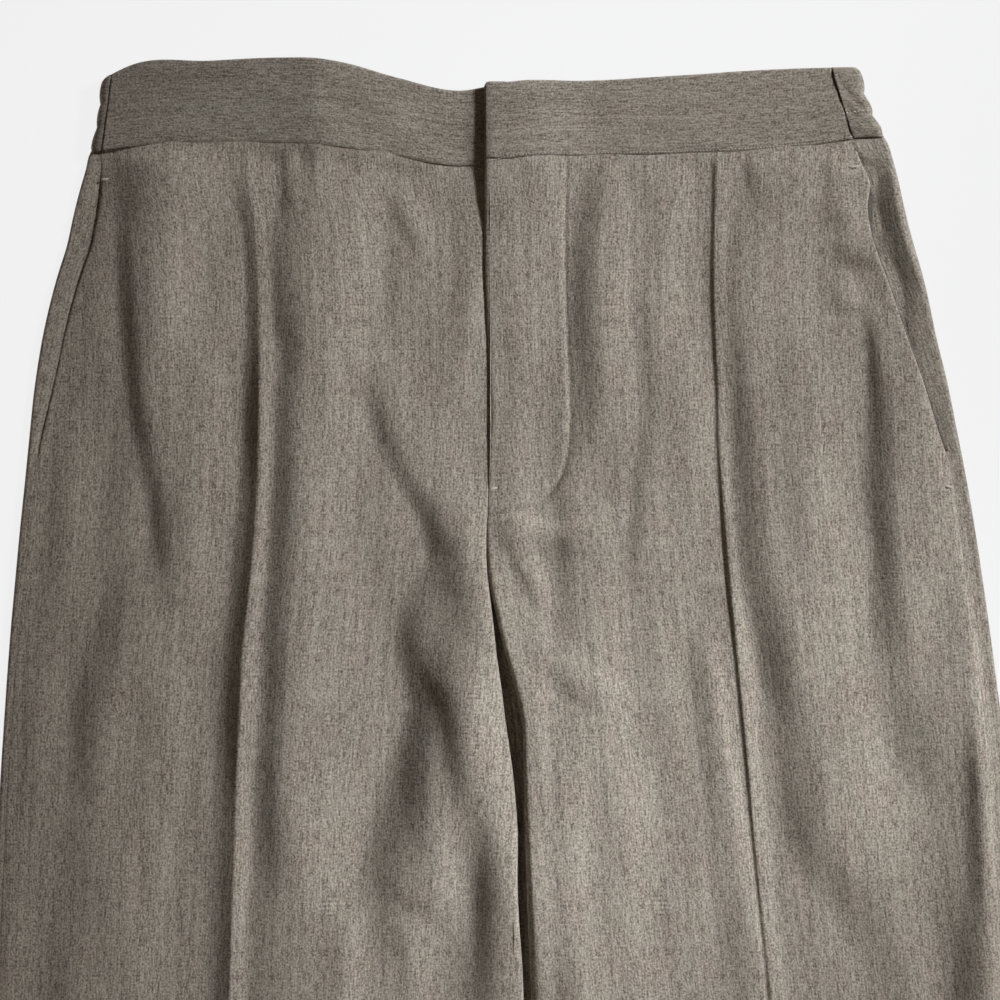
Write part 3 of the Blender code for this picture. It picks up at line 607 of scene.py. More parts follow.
def inner_fold(side, row):
    """The fold between the legs as one run of (out, height): along the surface, round the fold and onto
    the upper layer. Its middle point is where the inseam lies by default."""
    turned = curl(row) * math.pi / 2
    inside = float(leg(side, "inner", row)) + 0.1 * float(1 - ease(CROTCH - 50, CROTCH - 40, row))
    reach = float(leg(side, "round", row))
    crown = upper_run(side, row, inside + WALL / 2 + reach, 1, 1)[0, 1]
    radius = (crown - FLOOR_LAYER) / 2
    middle = inside + (WALL / 2 + reach) * math.sin(turned)
    half_gap = float(leg("right", "inner", row) + leg("left", "inner", row)) / 2
    foot = max(0.3, half_gap + 0.1) * float(ease(CROTCH - 44, CROTCH - 34, row))
    foot *= 1 - float(ease(*LEGS_PART, row))
    upper = [(middle - reach * math.sin(turn), FLOOR_LAYER + radius * (1 + math.cos(turn)))
             for turn in np.linspace(0, turned, 14)]
    # Below the fold the cloth runs back under it, then out to the other leg, and turns back under itself.
    edge = inside + WALL / 2
    drop = radius * (1 - math.cos(turned))
    bend = min(0.45, drop / 2)
    under = min(3.0, foot)
    lower = [(edge - foot + bend * (1 - math.sin(a)), FLOOR_LAYER + bend * (1 + math.cos(a)))
             for a in np.linspace(math.pi, 0, 7)]
    lower += [(edge - foot + bend + (foot + under - bend) * share, FLOOR_LAYER + 2 * bend)
              for share in np.linspace(0, 1, 6)[1:-1]]
    lower += [(edge + under * (1 - math.sin(a)),
               FLOOR_LAYER + 2 * bend + (drop - 2 * bend) * (1 - math.cos(a)))
              for a in np.linspace(0, math.pi / 2, 9)]
    return np.array(lower), np.array(upper[::-1]), middle


def centre_edge(side, row):
    """Where a front panel ends at the centre: past it on the fly's upper half, under that on the lower."""
    shut = float(ease(FLY_END - 12, FLY_END, row))
    reach = float(FLY_EDGE_CURVE.at("lap", row)) if side == "left" else UNDERLAP
    return -reach * (1 - shut)


def front_section(side, row):
    """A front panel's section, from the centre or the inseam out to the side seam: (out, height)."""
    crest = float(leg(side, "crease", row))
    seam = float(leg(side, "out", row) - leg(side, "strip", row)) - SEAM_GAP
    curled = row > FLY_END + 1
    if curled:
        lower, upper, start = inner_fold(side, row)
        inner = upper_run(side, row, start, start + FLAT_START, DENSE)
        inner[:, 1] += (upper[-1, 1] - inner[0, 1]) * (1 - ease(0, FLAT_START, inner[:, 0] - start))
        inner = clean(np.concatenate([upper, inner[1:]]))
        inner = inner[spread_from(inner, float(leg(side, "inseam", row))):]
    else:
        start = centre_edge(side, row)
        inner = upper_run(side, row, start, start + FLAT_START, DENSE)
    columns = FRONT_COLUMNS
    first = spread(inner, columns["inner"])
    turn = turned_under(first[0], first[1], TURN_IN, columns["turn"])[::-1]
    close = [FLY_WIDTH + off for off in STITCH_COLUMNS] + [crest + off for off in TUCK_COLUMNS]
    stops = [start + FLAT_START, *close, seam]
    if stops[1] < stops[0] + 4:
        stops[1] = stops[0] + 4
        stops[2] = max(stops[2], stops[1] + 4)
    names = ["fly", "stitch", "belly", "tuck", "side"]
    runs = [spread(upper_run(side, row, a, b, DENSE), columns[name])
            for a, b, name in zip(stops, stops[1:], names)]
    edge = turned_under(runs[-1][-1], runs[-1][-2], TURN_IN, columns["turn"])
    return join([turn, first, *runs, edge])


def spread_from(points, length):
    """The index of the first point that lies this far along a run."""
    return int(np.searchsorted(run_along(points), length)) if length > 0 else 0


def mesh_rows(stretches):
    """The rows named by (from, to, step) stretches."""
    rows = []
    for start, end, step in stretches:
        rows.extend(np.linspace(start, end, max(2, round((end - start) / step) + 1))[:-1])
    return rows + [stretches[-1][1]]


def rows_of(side, section, stretches, seam="seam"):
    """The mesh rows of a panel: each row's section, placed at its distance down."""
    grid = []
    for row in mesh_rows(stretches):
        flat = section(side, row)
        across = SIGN[side] * flat[:, 0]
        grid.append(np.stack([across, row_down(side, row, across, waist(seam, across)), flat[:, 1]], axis=1))
    return np.array(grid)


def turn_up_hem(grid, above):
    """Adds the hem's turned-up allowance under the last row of a panel, or on top of it for the back."""
    last, step = grid[-1], grid[-1] - grid[-2]
    along = step / np.linalg.norm(step, axis=1)[:, None]
    up = np.array([0, 0, 1.0 if above else -1.0])
    extra = [last + TURN * (along * math.sin(a) + up * (1 - math.cos(a)))
             for a in np.linspace(0, math.pi, 6)[1:]]
    for back in (TURN_IN, HEM_TURN_UP / 2, HEM_TURN_UP):
        extra.append(extra[4] - along * back)
    return np.concatenate([grid, np.array(extra)])


def add_object(name, data):
    made = bpy.data.objects.new(name, data)
    bpy.context.collection.objects.link(made)
    return made


def cloth_sheet(name, grid, grain, thickness, material):
    """A closed thin shell of cloth on a grid of rows of (across, down, height), the middle of the cloth.
    grain gives each grid point's place on the cloth, across and along its threads, in millimetres."""
    rows, columns = grid.shape[:2]
    index = np.arange(rows * columns).reshape(rows, columns)
    faces = np.stack([index[:-1, :-1], index[:-1, 1:], index[1:, 1:], index[1:, :-1]], axis=-1).reshape(-1, 4)
    mesh = bpy.data.meshes.new(name)
    mesh.from_pydata(place(grid).reshape(-1, 3).tolist(), [], faces.tolist())
    layer = mesh.uv_layers.new(name="grain")
    layer.data.foreach_set("uv", (grain.reshape(-1, 2)[faces.ravel()] * MM).astype(np.float32).ravel())
    piece = add_object(name, mesh)
    form = bmesh.new()
    form.from_mesh(mesh)
    bmesh.ops.recalc_face_normals(form, faces=form.faces)
    form.to_mesh(mesh)
    form.free()
    bpy.ops.object.select_all(action="DESELECT")
    bpy.context.view_layer.objects.active = piece
    piece.select_set(True)
    wall = piece.modifiers.new("cloth", "SOLIDIFY")
    wall.thickness = thickness * MM
    wall.offset = 0
    wall.use_rim = True
    bpy.ops.object.modifier_apply(modifier=wall.name)
    bpy.ops.object.shade_smooth()
    mesh.materials.append(material)
    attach(piece, "root")
    return piece


def add_node(tree, kind, links=(), **settings):
    """A node with its settings and its input values, linked from other nodes' outputs."""
    made = tree.nodes.new(kind)
    for name, value in settings.items():
        if hasattr(made, name):
            setattr(made, name, value)
        else:
            made.inputs[name.replace("_", " ")].default_value = value
    for target, source in dict(links).items():
        tree.links.new(source, made.inputs[target])
    return made


def math_node(tree, operation, first, second):
    made = tree.nodes.new("ShaderNodeMath")
    made.operation = operation
    for slot, value in enumerate((first, second)):
        if isinstance(value, (int, float)):
            made.inputs[slot].default_value = value
        else:
            tree.links.new(value, made.inputs[slot])
    return made.outputs[0]


def weighted(tree, *terms):
    """The sum of node values, each times its weight."""
    parts = [math_node(tree, "MULTIPLY", value, weight) for value, weight in terms]
    total = parts[0]
    for part in parts[1:]:
        total = math_node(tree, "ADD", total, part)
    return total


def thread_noise(tree, vector, across, along, detail, rough):
    """Noise stretched along one thread direction: how many grains there are a millimetre each way."""
    stretch = add_node(tree, "ShaderNodeMapping", {"Vector": vector}, Scale=(across, along, 1))
    noise = add_node(tree, "ShaderNodeTexNoise", {"Vector": stretch.outputs[0]}, Scale=1.0, Detail=detail,
                     Roughness=rough)
    return noise.outputs["Fac"]


def ramp_between(tree, value, low, high):
    """A value's share of the way from low to high, clamped."""
    node = add_node(tree, "ShaderNodeMapRange", {"Value": value})
    node.inputs["From Min"].default_value = low
    node.inputs["From Max"].default_value = high
    return node.outputs["Result"]


def blend(tree, share, first, second, kind="MIX"):
    """A mix of two colours."""
    node = tree.nodes.new("ShaderNodeMix")
    node.data_type = "RGBA"
    node.blend_type = kind
    for socket, value in ((node.inputs[0], share), (node.inputs[6], first), (node.inputs[7], second)):
        if isinstance(value, bpy.types.NodeSocket):
            tree.links.new(value, socket)
        else:
            socket.default_value = value
    return node.outputs[2]


def set_inputs(node, values):
    for name, value in values.items():
        node.inputs[name].default_value = value


def new_material(name):
    """An empty material: itself, its node tree and its shader."""
    material = bpy.data.materials.new(name)
    material.use_nodes = True
    return material, material.node_tree, material.node_tree.nodes["Principled BSDF"]


def melange_group():
    """Melange wool as a shader node group: pale and dark fibres spun together, faint streaks along the
    threads, a few stray hairs, and slow patches where the mix is greener or pinker."""
    group = bpy.data.node_groups.new("melange wool", "ShaderNodeTree")
    face = group.interface
    face.new_socket("Grain", in_out="INPUT", socket_type="NodeSocketVector")
    for name in ("Dark", "Pale", "Hair"):
        face.new_socket(name, in_out="INPUT", socket_type="NodeSocketColor")
    face.new_socket("Color", in_out="OUTPUT", socket_type="NodeSocketColor")
    face.new_socket("Height", in_out="OUTPUT", socket_type="NodeSocketFloat")
    start = group.nodes.new("NodeGroupInput")
    end = group.nodes.new("NodeGroupOutput")
    grain = add_node(group, "ShaderNodeVectorMath", {0: start.outputs["Grain"]}, operation="SCALE",
                     Scale=1 / MM).outputs[0]
    fibre = thread_noise(group, grain, 0.95, 0.8, 2.5, 0.62)
    warp = thread_noise(group, grain, 1.1, 0.16, 2.0, 0.55)
    weft = thread_noise(group, grain, 0.2, 1.1, 1.0, 0.5)
    streak = thread_noise(group, grain, 0.32, 0.015, 2.0, 0.6)
    hair = thread_noise(group, grain, 1.9, 0.9, 1.0, 0.5)
    patch = thread_noise(group, grain, 0.07, 0.035, 2.0, 0.6)
    mixed = weighted(group, (fibre, 0.55), (warp, 0.36), (weft, 0.09))
    tone = weighted(group, (mixed, 1.0), (math_node(group, "SUBTRACT", streak, 0.5), 0.17),
                    (math_node(group, "SUBTRACT", patch, 0.5), 0.06))
    share = ramp_between(group, tone, 0.385, 0.615)
    color = blend(group, share, start.outputs["Dark"], start.outputs["Pale"])
    hairs = math_node(group, "MULTIPLY", ramp_between(group, hair, 0.68, 0.78), 0.6)
    color = blend(group, hairs, color, start.outputs["Hair"])
    tint = blend(group, ramp_between(group, patch, 0.35, 0.65), (1.0, 0.97, 0.965, 1), (0.965, 1.0, 0.985, 1))
    group.links.new(blend(group, 1.0, color, tint, "MULTIPLY"), end.inputs["Color"])
    group.links.new(mixed, end.inputs["Height"])
    return group


MELANGE = melange_group()


HAIR = (0.62, 0.57, 0.50, 1)


def wool(name, dark, pale, nap=0.35):
    """A wool cloth's material: the melange as its colour and its fine relief, with a soft nap."""
    material, tree, shader = new_material(name)
    place_on_cloth = add_node(tree, "ShaderNodeUVMap", uv_map="grain")
    mix = tree.nodes.new("ShaderNodeGroup")
    mix.node_tree = MELANGE
    tree.links.new(place_on_cloth.outputs[0], mix.inputs["Grain"])
    set_inputs(mix, dict(Dark=dark, Pale=pale, Hair=HAIR))
    tree.links.new(mix.outputs["Color"], shader.inputs["Base Color"])
    bump = add_node(tree, "ShaderNodeBump", {"Height": mix.outputs["Height"]}, Strength=0.7, Distance=0.0006)
    tree.links.new(bump.outputs[0], shader.inputs["Normal"])
    set_inputs(shader, {"Roughness": 0.92, "Specular IOR Level": 0.2, "Sheen Weight": nap,
                        "Sheen Roughness": 0.55, "Sheen Tint": (0.8, 0.76, 0.7, 1)})
    return material


LEG_WOOL = wool("leg wool", dark=(0.088, 0.071, 0.055, 1), pale=(0.375, 0.324, 0.269, 1))


# Where each panel lies on the cloth, so that no two have the same grain
GRAIN_START = dict(back=700, band=400, elastic=900)


def front_grain(side, grid):
    """Threads run along the pintuck: across is counted from it."""
    along = grid[..., 1]
    return np.stack([SIGN[side] * grid[..., 0] - leg(side, "crease", along), along], axis=-1)


for side in SIGN:
    grid = turn_up_hem(rows_of(side, front_section, FRONT_ROWS), above=False)
    grain = front_grain(side, grid)
    cloth_sheet(f"front_leg_{side}", grid, grain, WALL, LEG_WOOL)
    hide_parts(f"front_{side}")

# ------------------------------------------------------------------------------------------------
# Back legs. Two panels of the same wool, cut wider than the fronts. They lie under them on the
# surface, roll round the outer side onto the front as far as the side seam, and roll up between
# the legs to the inseam.

BACK_ROWS = [(WAIST - 9, WAIST, 3), (WAIST, 60, 2.5), (60, 246, 3.5), (246, 500, 4), (500, HEM, 7)]
BACK_COLUMNS = dict(turn=6, inner=24, under=14, floor=26, fold=14, strip=14)
MOUTH_GAPE = 1.0  # how far the two sides of the pocket's mouth stand apart
MOUTH_DEPTH = {"right": 1.0, "left": 4.4}  # how deep the back's edge sinks there
SIDE_ROLL = {"right": 0, "left": 2.8}  # how much higher the side fold rolls beside the mouth's top


def mouth(down):
    """Where the pocket's mouth is open: 1 along it and 0 past its ends."""
    return between((MOUTH_TOP, MOUTH_TOP + 14), (MOUTH_END - 24, MOUTH_END), down)


def back_section(side, row):
    """A back panel's section, from the inseam along the surface, round the side and onto the front."""
    columns = BACK_COLUMNS
    lower, upper, start = inner_fold(side, row)
    rise = clean(np.concatenate([lower[::-1], [(start + FLAT_START, FLOOR_LAYER)]]))[::-1]
    over = clean(upper)
    inseam = spread_from(over, float(leg(side, "inseam", row))) if row > CROTCH + 60 else 1
    over = over[:max(1, inseam)]
    run = clean(np.concatenate([rise, over]))
    tip = int(np.argmin(run[::-1][:, 0]))
    ends = [run[::-1][:tip + 1], run[::-1][tip:]]
    first = join([spread(part, columns[name]) for part, name in zip(ends, ("inner", "under"))])
    edge = float(leg(side, "out", row)) - WALL / 2
    seam = float(leg(side, "out", row) - leg(side, "strip", row)) + SEAM_GAP
    seam += MOUTH_GAPE * float(mouth(row))
    puff = float(puffed(side, row))
    roll = SIDE_ROLL[side] * float(between((46, 62), (88, 140), row))
    crown = upper_run(side, row, edge - 2, 1, 1)[0, 1] - puff + roll
    bend = (crown - FLOOR_LAYER) / 2
    centre = edge - bend
    sweep = np.linspace(-math.pi / 2, math.pi / 2, 17)
    side_arc = [(centre + bend * math.cos(a), FLOOR_LAYER + bend * (1 + math.sin(a))) for a in sweep]
    floor_out = np.linspace(start + FLAT_START, centre, DENSE)
    across = SIGN[side] * floor_out
    creases = np.maximum(0, waves(-across, HEM - row))
    creases *= ease(0, 20, floor_out - floor_out[0]) * ease(0, 20, floor_out[-1] - floor_out)
    floor = np.stack([floor_out, FLOOR_LAYER + creases], axis=1)
    strip = upper_run(side, row, centre, min(seam, centre - 0.4), DENSE)
    strip[:, 1] -= puff
    inside = (centre - strip[:, 0]) / max(1.0, centre - seam)
    strip[:, 1] += (crown - strip[0, 1]) * (1 - inside)
    valley = np.clip(inside, 0, 1) ** (1.8 if roll < 1 else 1.1)
    strip[:, 1] = np.maximum(strip[:, 1] - MOUTH_DEPTH[side] * float(mouth(row)) * valley, FLOOR_LAYER + 1.5)
    runs = [spread(part, columns[name])
            for part, name in ((floor, "floor"), (side_arc, "fold"), (strip, "strip"))]
    turn = turned_under(runs[-1][-1], runs[-1][-2], TURN_IN, columns["turn"])
    turn[:, 1] = np.maximum(turn[:, 1], FLOOR_LAYER + 0.2)
    return join([first, *runs, turn])


def back_grain(side, grid):
    """Across is the length along each section, so that the threads carry on round the fold."""
    along = run_along(grid[..., [0, 2]], axis=1)
    return np.stack([along - along[:, -1:] - GRAIN_START["back"] * SIGN[side], grid[..., 1]], axis=-1)


for side in SIGN:
    grid = turn_up_hem(rows_of(side, back_section, BACK_ROWS), above=True)
    grain = back_grain(side, grid)
    cloth_sheet(f"back_leg_{side}", grid, grain, WALL, LEG_WOOL)
    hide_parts(f"back_{side}")

# ------------------------------------------------------------------------------------------------
# Pocket facings. A strip of the same wool faces each side pocket inside its mouth. Its material is a darker
# copy of the leg wool, painted shade, so that it shows as a dark line where the mouth gapes.

# Painted shade: the leg wool made much darker, so that the facing reads as shade inside the pocket's mouth.
FACING_WOOL_PAINTED_SHADE = wool("facing wool painted shade", dark=(0.06, 0.05, 0.04, 1), pale=(0.18, 0.155, 0.13, 1), nap=0.1)
FACING_WALL = 0.6
FACING_REACH = 10  # how far it goes in under the front
FACING_COLUMNS = 12
FACING_DROP = {"right": 2.0, "left": 2.8}  # how far below the front it lies

for side in SIGN:
    grid = []
    for down in np.linspace(MOUTH_TOP, MOUTH_END - 14, 44):
        seam = leg(side, "out", down) - leg(side, "strip", down)
        reach = min(4.0, leg(side, "strip", down) - 3)
        out = np.linspace(seam - FACING_REACH, seam + reach, FACING_COLUMNS)
        level = np.full(FACING_COLUMNS, down)
        high = front_height(side, np.full(FACING_COLUMNS, seam), level) - FACING_DROP[side]
        grid.append(np.stack([SIGN[side] * out, level, high], axis=1))
    grid = np.array(grid)
    cloth_sheet(f"pocket_strip_{side}", grid, grid[..., :2], FACING_WALL, FACING_WOOL_PAINTED_SHADE)
    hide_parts(f"pocket_facing_{side}")

# ------------------------------------------------------------------------------------------------
# Front waistband. Two plain bands, each one strip folded over at its top edge with stiff cloth
# inside, so it is flat and firm. Its threads run round the waist. The left one laps over the right.

# Painted shade: the bands' wool is the leg wool made darker, for how the bands, with their threads across,
# come out darker than the legs.
BAND_WOOL_PAINTED_SHADE = wool("band wool painted shade", dark=(0.08, 0.065, 0.05, 1), pale=(0.319, 0.276, 0.229, 1))
BAND_WALL = 0.6
BAND_HALF = 0.85  # from the middle of the band to the middle of each of its two layers
BAND_RISE = FLY_EDGE[0]["rise"]  # how much higher the lapping end stands
BAND_ROLL = dict(drop=1.1, reach=5)  # the lapping end's rounded edge
# Where the front bands end and the elastic turns round the side, counted outwards, at the top and the seam
BAND_SIDES = {
    "right": dict(top_end=202.6, seam_end=208, top_out=207.4, seam_out=213.4),
    "left": dict(top_end=182.6, seam_end=193.8, top_out=198, seam_out=210.6),
}
BAND_COLUMNS = 140
LAP_SQUARE = 12  # the lapping end is cut square from here
LAP_CORNER = 2.2  # the radius of its corner


def band_height(side, across, share):
    """The height of the middle of a front band, where share is 0 at its top edge and 1 at its seam."""
    out = SIGN[side] * across
    high = BAND_LAYER + waist("wave", across) + waist("lean", across) * (1 - share)
    high = high + 0.5 * waves(across * 0.8 + 40, share * 160)
    if side == "left":
        return high + BAND_RISE * (1 - ease(FLY_WIDTH * 0.3, FLY_WIDTH * 1.6, out))
    return high + lap_slope(out, np.full(len(out), 20.0))


def band_profile():
    """A band's section as (share of its depth, distance from its middle): up the front and down inside."""
    front = [(share, BAND_HALF) for share in np.linspace(1, 0.03, 26)]
    top = [(0.03 * (1 - math.sin(a)), BAND_HALF * math.cos(a)) for a in np.linspace(0, math.pi, 9)[1:-1]]
    inside = [(share, -BAND_HALF) for share in np.linspace(0.03, 1.04, 14)]
    tucked = [(1.0, 0.3), (1.012, 0.5), (1.006, 0.7)]
    return tucked + front[1:] + top + inside


def front_band(side):
    ends = BAND_SIDES[side]
    reach = FLY_EDGE[0]["lap"] if side == "left" else UNDERLAP
    grid = []
    for share, off in band_profile():
        outer = ends["top_end"] + share * (ends["seam_end"] - ends["top_end"]) - SEAM_GAP
        out = np.linspace(-reach, outer, BAND_COLUMNS + 1)
        across = SIGN[side] * out
        top, seam = waist("top", across), waist("seam", across)
        if side == "left":
            lapped = 1 - ease(6, 14, out)
            top = top * (1 - lapped) + waist("top", LAP_SQUARE) * lapped
            seam = seam * (1 - lapped) + waist("seam", LAP_SQUARE) * lapped
            inside = np.clip((out + reach) / LAP_CORNER, 0, 1)
            top = top + LAP_CORNER * (1 - np.sqrt(1 - (1 - inside) ** 2))
        down = top + share * (seam - top)
        high = band_height(side, across, share) + off
        if side == "left" and off > 0:
            rolled_in = (1 - np.clip((out + reach) / BAND_ROLL["reach"], 0, 1)) ** 2
            high = high - BAND_ROLL["drop"] * (off / BAND_HALF) * rolled_in
        grid.append(np.stack([across, down, high], axis=1))
    return np.array(grid)


def band_grain(grid):
    """The band's threads run along it, so its length is the direction of the streaks."""
    return np.stack([run_along(grid) + GRAIN_START["band"], grid[..., 0]], axis=-1)


for side in SIGN:
    grid = front_band(side)
    grain = band_grain(grid)
    cloth_sheet(f"front_band_{side}", grid, grain, BAND_WALL, BAND_WOOL_PAINTED_SHADE)
    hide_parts(f"waistband_front_{side}")

# ------------------------------------------------------------------------------------------------
# Elastic waistband. One strip folded over a wide elastic behind the waist. Two rows of stitches
# part it into three puffed channels, and the elastic gathers the cloth across them. It comes round
# both sides to the front.

ELASTIC_HALF = 1.3  # from the middle of the band to the middle of each of its two layers
ELASTIC_LAYER = 1.8  # the height of its middle on the surface
GATHERS = dict(length=8.5, height=0.45)
CHANNELS = 3
PUFF = 1.4  # how far each channel stands out


def elastic_path(share):
    """The band's line round the waist at one level: (across, height) and the way out from its middle."""
    bend = (BAND_LAYER - ELASTIC_LAYER) / 2
    halves = []
    for side in SIGN:
        ends = BAND_SIDES[side]
        outer = ends["top_out"] + max(0, share) ** 1.6 * (ends["seam_out"] - ends["top_out"]) - ELASTIC_LAYER
        inner = ends["top_end"] + share * (ends["seam_end"] - ends["top_end"]) - 0.05
        inner = min(inner, outer - bend - 0.5)
        sweep = np.linspace(-math.pi / 2, math.pi / 2, 25)
        turn = [(outer - bend + bend * math.cos(a), ELASTIC_LAYER + bend * (1 + math.sin(a)),
                 math.cos(a), math.sin(a)) for a in sweep]
        flat = [(x, BAND_LAYER, 0, 1) for x in np.linspace(outer - bend, inner, 14)[1:]]
        half = np.array(turn + flat)
        half[:, [0, 2]] *= SIGN[side]
        halves.append(half)
    across = np.linspace(halves[0][0, 0], halves[1][0, 0], 210)[1:-1]
    level = np.ones(len(across))
    floor = np.stack([across, ELASTIC_LAYER * level, 0 * level, -level], axis=1)
    return np.concatenate([halves[0][::-1], floor, halves[1]])


def elastic_band():
    grid = []
    for share, off in band_profile():
        path = elastic_path(share)
        side_off = off / BAND_HALF * ELASTIC_HALF
        run = run_along(path[:, :2])
        gather = np.sin(run * 2 * math.pi / GATHERS["length"] + 1.3 * np.sin(run / 31) + 2.2 * share)
        gather = GATHERS["height"] * gather * math.sin(math.pi * min(1, max(0, share))) ** 0.5
        puff = PUFF * abs(math.sin(math.pi * CHANNELS * min(1, max(0, share)))) ** 0.6 - 0.3
        raised = np.clip((path[:, 1] - ELASTIC_LAYER) / (BAND_LAYER - ELASTIC_LAYER), 0, 1)
        on_top = np.clip(path[:, 3], 0, 1)
        lift = side_off + (gather + puff) * np.clip(side_off / ELASTIC_HALF, 0, 1) * (1 - 0.5 * on_top)
        across = path[:, 0] + path[:, 2] * lift
        high = np.maximum(path[:, 1] + path[:, 3] * lift, 0.55)
        high += raised * ((1 - share) * waist("lean", path[:, 0]) + np.where(path[:, 0] < 0, 0.5, 0))
        low_top = waist("top", path[:, 0]) + 3.5 * (1 - raised)
        low_seam = waist("seam", path[:, 0]) + 1.0 * (1 - raised) - 0.4
        grid.append(np.stack([across, low_top + share * (low_seam - low_top), high], axis=1))
    return np.array(grid)


def elastic_grain(grid):
    return np.stack([band_grain(grid)[..., 0], run_along(grid, axis=1) + GRAIN_START["elastic"]], axis=-1)


grid = elastic_band()
# The elastic uses the same darker band wool, painted shade as well.
elastic = cloth_sheet("elastic_band", grid, elastic_grain(grid), WALL, BAND_WOOL_PAINTED_SHADE)
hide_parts("waistband_back")

# ------------------------------------------------------------------------------------------------
# Stitches. Polyester thread in the cloth's own colour: the fly's curved row, the row along the seam
# under the left band, the bar tacks at the fly, at the top of each pocket and at the foot of the left
# one, and a short row on the elastic where its channels part.


def thread_material(name, color):
    material, tree, shader = new_material(name)
    spot = add_node(tree, "ShaderNodeTexCoord")
    noise = add_node(tree, "ShaderNodeTexNoise", {"Vector": spot.outputs["Object"]}, Scale=900.0, Detail=2.0)
    pale = tuple(min(1.0, c * 1.35) for c in color) + (1,)
    deep = tuple(c * 0.7 for c in color) + (1,)
    tree.links.new(blend(tree, noise.outputs["Fac"], deep, pale), shader.inputs["Base Color"])
    shader.inputs["Roughness"].default_value = 0.6
    return material


def stitch_line(name, points, length, gap, thick, material):
    """A row of stitches along a line of (across, down, height): one modelled stitch, copied along."""
    bpy.ops.object.select_all(action="DESELECT")
    bpy.ops.mesh.primitive_uv_sphere_add(segments=6, ring_count=5, radius=1)
    one = bpy.context.object
    shape = np.array([v.co for v in one.data.vertices])
    faces = [tuple(p.vertices) for p in one.data.polygons]
    bpy.data.objects.remove(one)
    line = place(points)
    run = run_along(line)
    at = np.arange(gap / 2 * MM, run[-1] - length * MM, (length + gap) * MM)
    verts, polygons = [], []
    for start in at:
        ends = np.array([[np.interp(s, run, line[:, k]) for k in range(3)]
                         for s in (start, start + length * MM)])
        along = (ends[1] - ends[0]) / np.linalg.norm(ends[1] - ends[0])
        beside = np.cross([0, 0, 1], along)
        beside /= np.linalg.norm(beside)
        up = np.cross(along, beside)
        half = np.linalg.norm(ends[1] - ends[0]) / 2
        bowed = shape[:, 2:3] * half * along + shape[:, 0:1] * thick / 2 * MM * beside
        bowed = bowed + (shape[:, 1:2] * thick / 2 - 0.35 * thick * shape[:, 2:3] ** 2) * MM * up
        base = len(verts)
        verts.extend((ends.mean(axis=0) + bowed).tolist())
        polygons.extend(tuple(base + i for i in face) for face in faces)
    mesh = bpy.data.meshes.new(name)
    mesh.from_pydata(verts, [], polygons)
    mesh.shade_smooth()
    mesh.materials.append(material)
    piece = add_object(name, mesh)
    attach(piece, "root")
    return piece


THREAD = thread_material("thread", (0.37, 0.335, 0.285))
PALE_THREAD = thread_material("pale thread", (0.5, 0.46, 0.40))
TACK = dict(rows=4, spacing=0.28, thick=0.36, lift=0.1)


def on_front(side, points):
    """Points of (out, down) on the front's upper face."""
    points = np.asarray(points, float)
    high = front_height(side, points[:, 0], points[:, 1]) + WALL / 2
    return np.stack([SIGN[side] * points[:, 0], points[:, 1], high], axis=1)


def bar_tack(name, side, start, end):
    """A bar tack on the front: close rows of thread between two places (out, down)."""
    ends = np.array([start, end], float)
    step = (ends[1] - ends[0]) / np.linalg.norm(ends[1] - ends[0])
    beside = np.array([-step[1], step[0]])
    rows = []
    for k in range(TACK["rows"]):
        off = (k - (TACK["rows"] - 1) / 2) * TACK["spacing"] * beside
        line = np.array([ends[0] + off, ends[1] + off])
        rows.append(on_front(side, line if k % 2 == 0 else line[::-1]))
    points = np.concatenate(rows)
    points[:, 2] = points[:, 2].max() + TACK["lift"]
    reach = float(np.linalg.norm(ends[1] - ends[0]))
    return stitch_line(name, points, reach * 0.96, TACK["spacing"], TACK["thick"], PALE_THREAD)


stitches = [stitch_line("fly_stitches", on_front("left", FLY_LINE), 1.9, 0.7, 0.5, THREAD)]

seam_out = np.linspace(-1.5, 196, 180)
seam_points = np.stack([seam_out, waist("seam", seam_out) - 0.5,
                        band_height("left", seam_out, 1.0) + BAND_HALF + BAND_WALL / 2], axis=1)
stitches.append(stitch_line("band_seam_stitches", seam_points, 1.1, 0.6, 0.45, THREAD))
stitches.append(bar_tack("fly_tack", "left", (0.4, 217.6), (4.2, 217.2)))
stitches.append(bar_tack("pocket_tack_right_top", "right", (203.4, 52), (208.4, 52.6)))
stitches.append(bar_tack("pocket_tack_left_top", "left", (191.2, 46.2), (198, 45.4)))
stitches.append(bar_tack("pocket_tack_left_end", "left", (242.6, 216.4), (247.4, 216.8)))
channel_points = np.linspace((187.5, 17.4, BAND_LAYER + ELASTIC_HALF + 1.3),
                             (200, 15.6, BAND_LAYER + ELASTIC_HALF + 1.3), 12)
stitches.append(stitch_line("channel_stitches", channel_points, 1.4, 0.7, 0.5, PALE_THREAD))
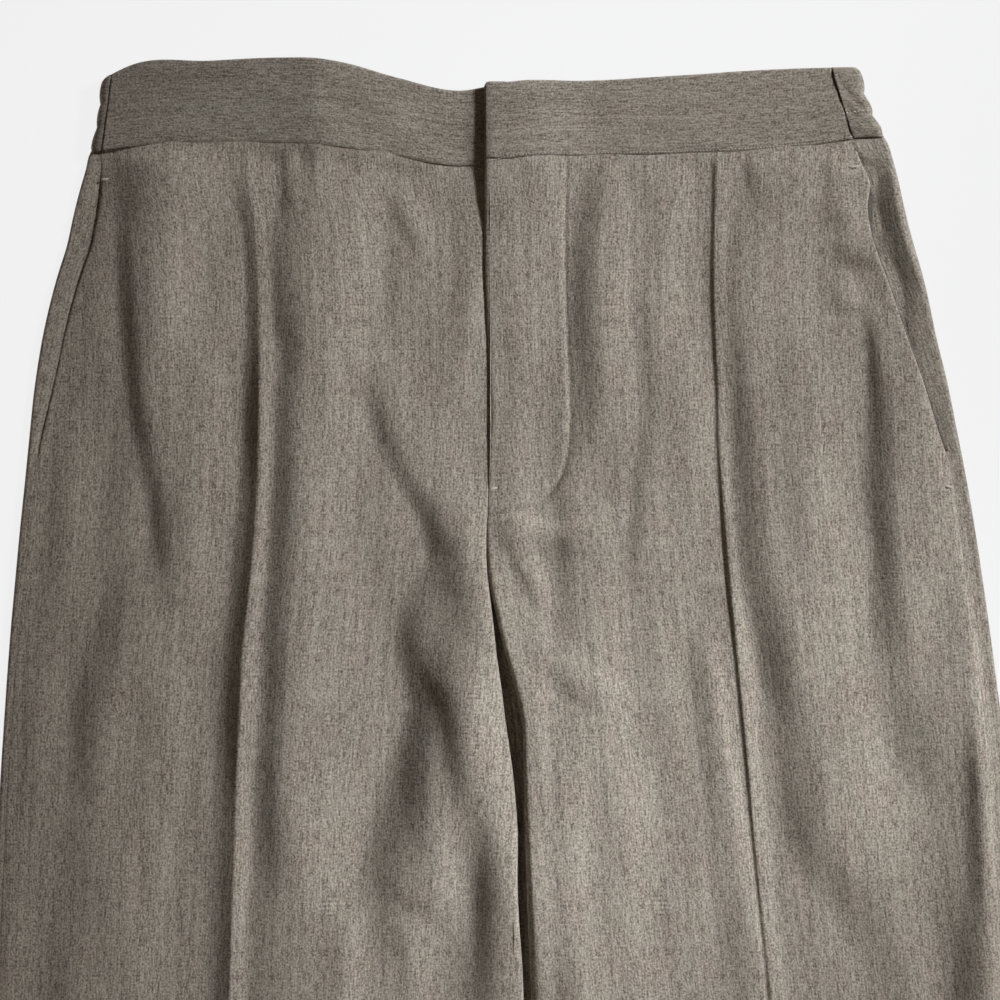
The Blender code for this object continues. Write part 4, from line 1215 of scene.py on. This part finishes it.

# ------------------------------------------------------------------------------------------------
# Surface, light and camera.

bpy.ops.object.select_all(action="DESELECT")
bpy.ops.mesh.primitive_plane_add(size=30, location=(0, 0, 0))
floor = bpy.context.object
floor.name = "floor"
paper, _, shader = new_material("paper")
set_inputs(shader, {"Base Color": (0.05, 0.05, 0.05, 1), "Roughness": 1.0, "Specular IOR Level": 0.0,
                    "Emission Color": (1, 1, 1, 1), "Emission Strength": 0.85})
floor.data.materials.append(paper)

world = bpy.data.worlds.new("room")
bpy.context.scene.world = world
world.use_nodes = True
set_inputs(world.node_tree.nodes["Background"], dict(Color=(1, 0.81, 0.64, 1), Strength=0.108))

# The middle of the camera's view on the surface and the width that it sees there
VIEW_CENTRE = (-2.65 * MM, 273.1 * MM)
VIEW_WIDTH = 534.8 * MM
WINDOW = dict(azimuth=28, elevation=34, distance=2.0, color=(0.91, 0.955, 1))


def lamp(name, target, size, power, spread):
    """A soft square light from the window's side that faces the target. Azimuth 0 is at +X, 90 at +Y."""
    light = bpy.data.lights.new(name, "AREA")
    light.shape = "RECTANGLE"
    light.size = light.size_y = size
    light.energy = power
    light.spread = math.radians(spread)
    light.color = WINDOW["color"]
    lit = add_object(name, light)
    a, e = math.radians(WINDOW["azimuth"]), math.radians(WINDOW["elevation"])
    away = Vector((math.cos(e) * math.cos(a), math.cos(e) * math.sin(a), math.sin(e)))
    lit.location = Vector((*target, 0)) + WINDOW["distance"] * away
    lit.rotation_mode = "QUATERNION"
    lit.rotation_quaternion = (-away).to_track_quat("-Z", "Y")


lamp("window high", target=(0.02, 0.46), size=0.28, power=0.88, spread=18)
lamp("window low", target=(0.07, 0.07), size=0.3, power=0.86, spread=15)
lamp("window far", target=(0.07, -0.38), size=0.3, power=0.88, spread=15)

lens = bpy.data.cameras.new("camera")
lens.sensor_width = 36
lens.lens = 200
camera = add_object("camera", lens)
camera.location = (VIEW_CENTRE[0], VIEW_CENTRE[1], VIEW_WIDTH * lens.lens / lens.sensor_width + 5 * MM)
lens.clip_end = 50
bpy.context.scene.camera = camera
bpy.context.scene.view_settings.view_transform = "Standard"
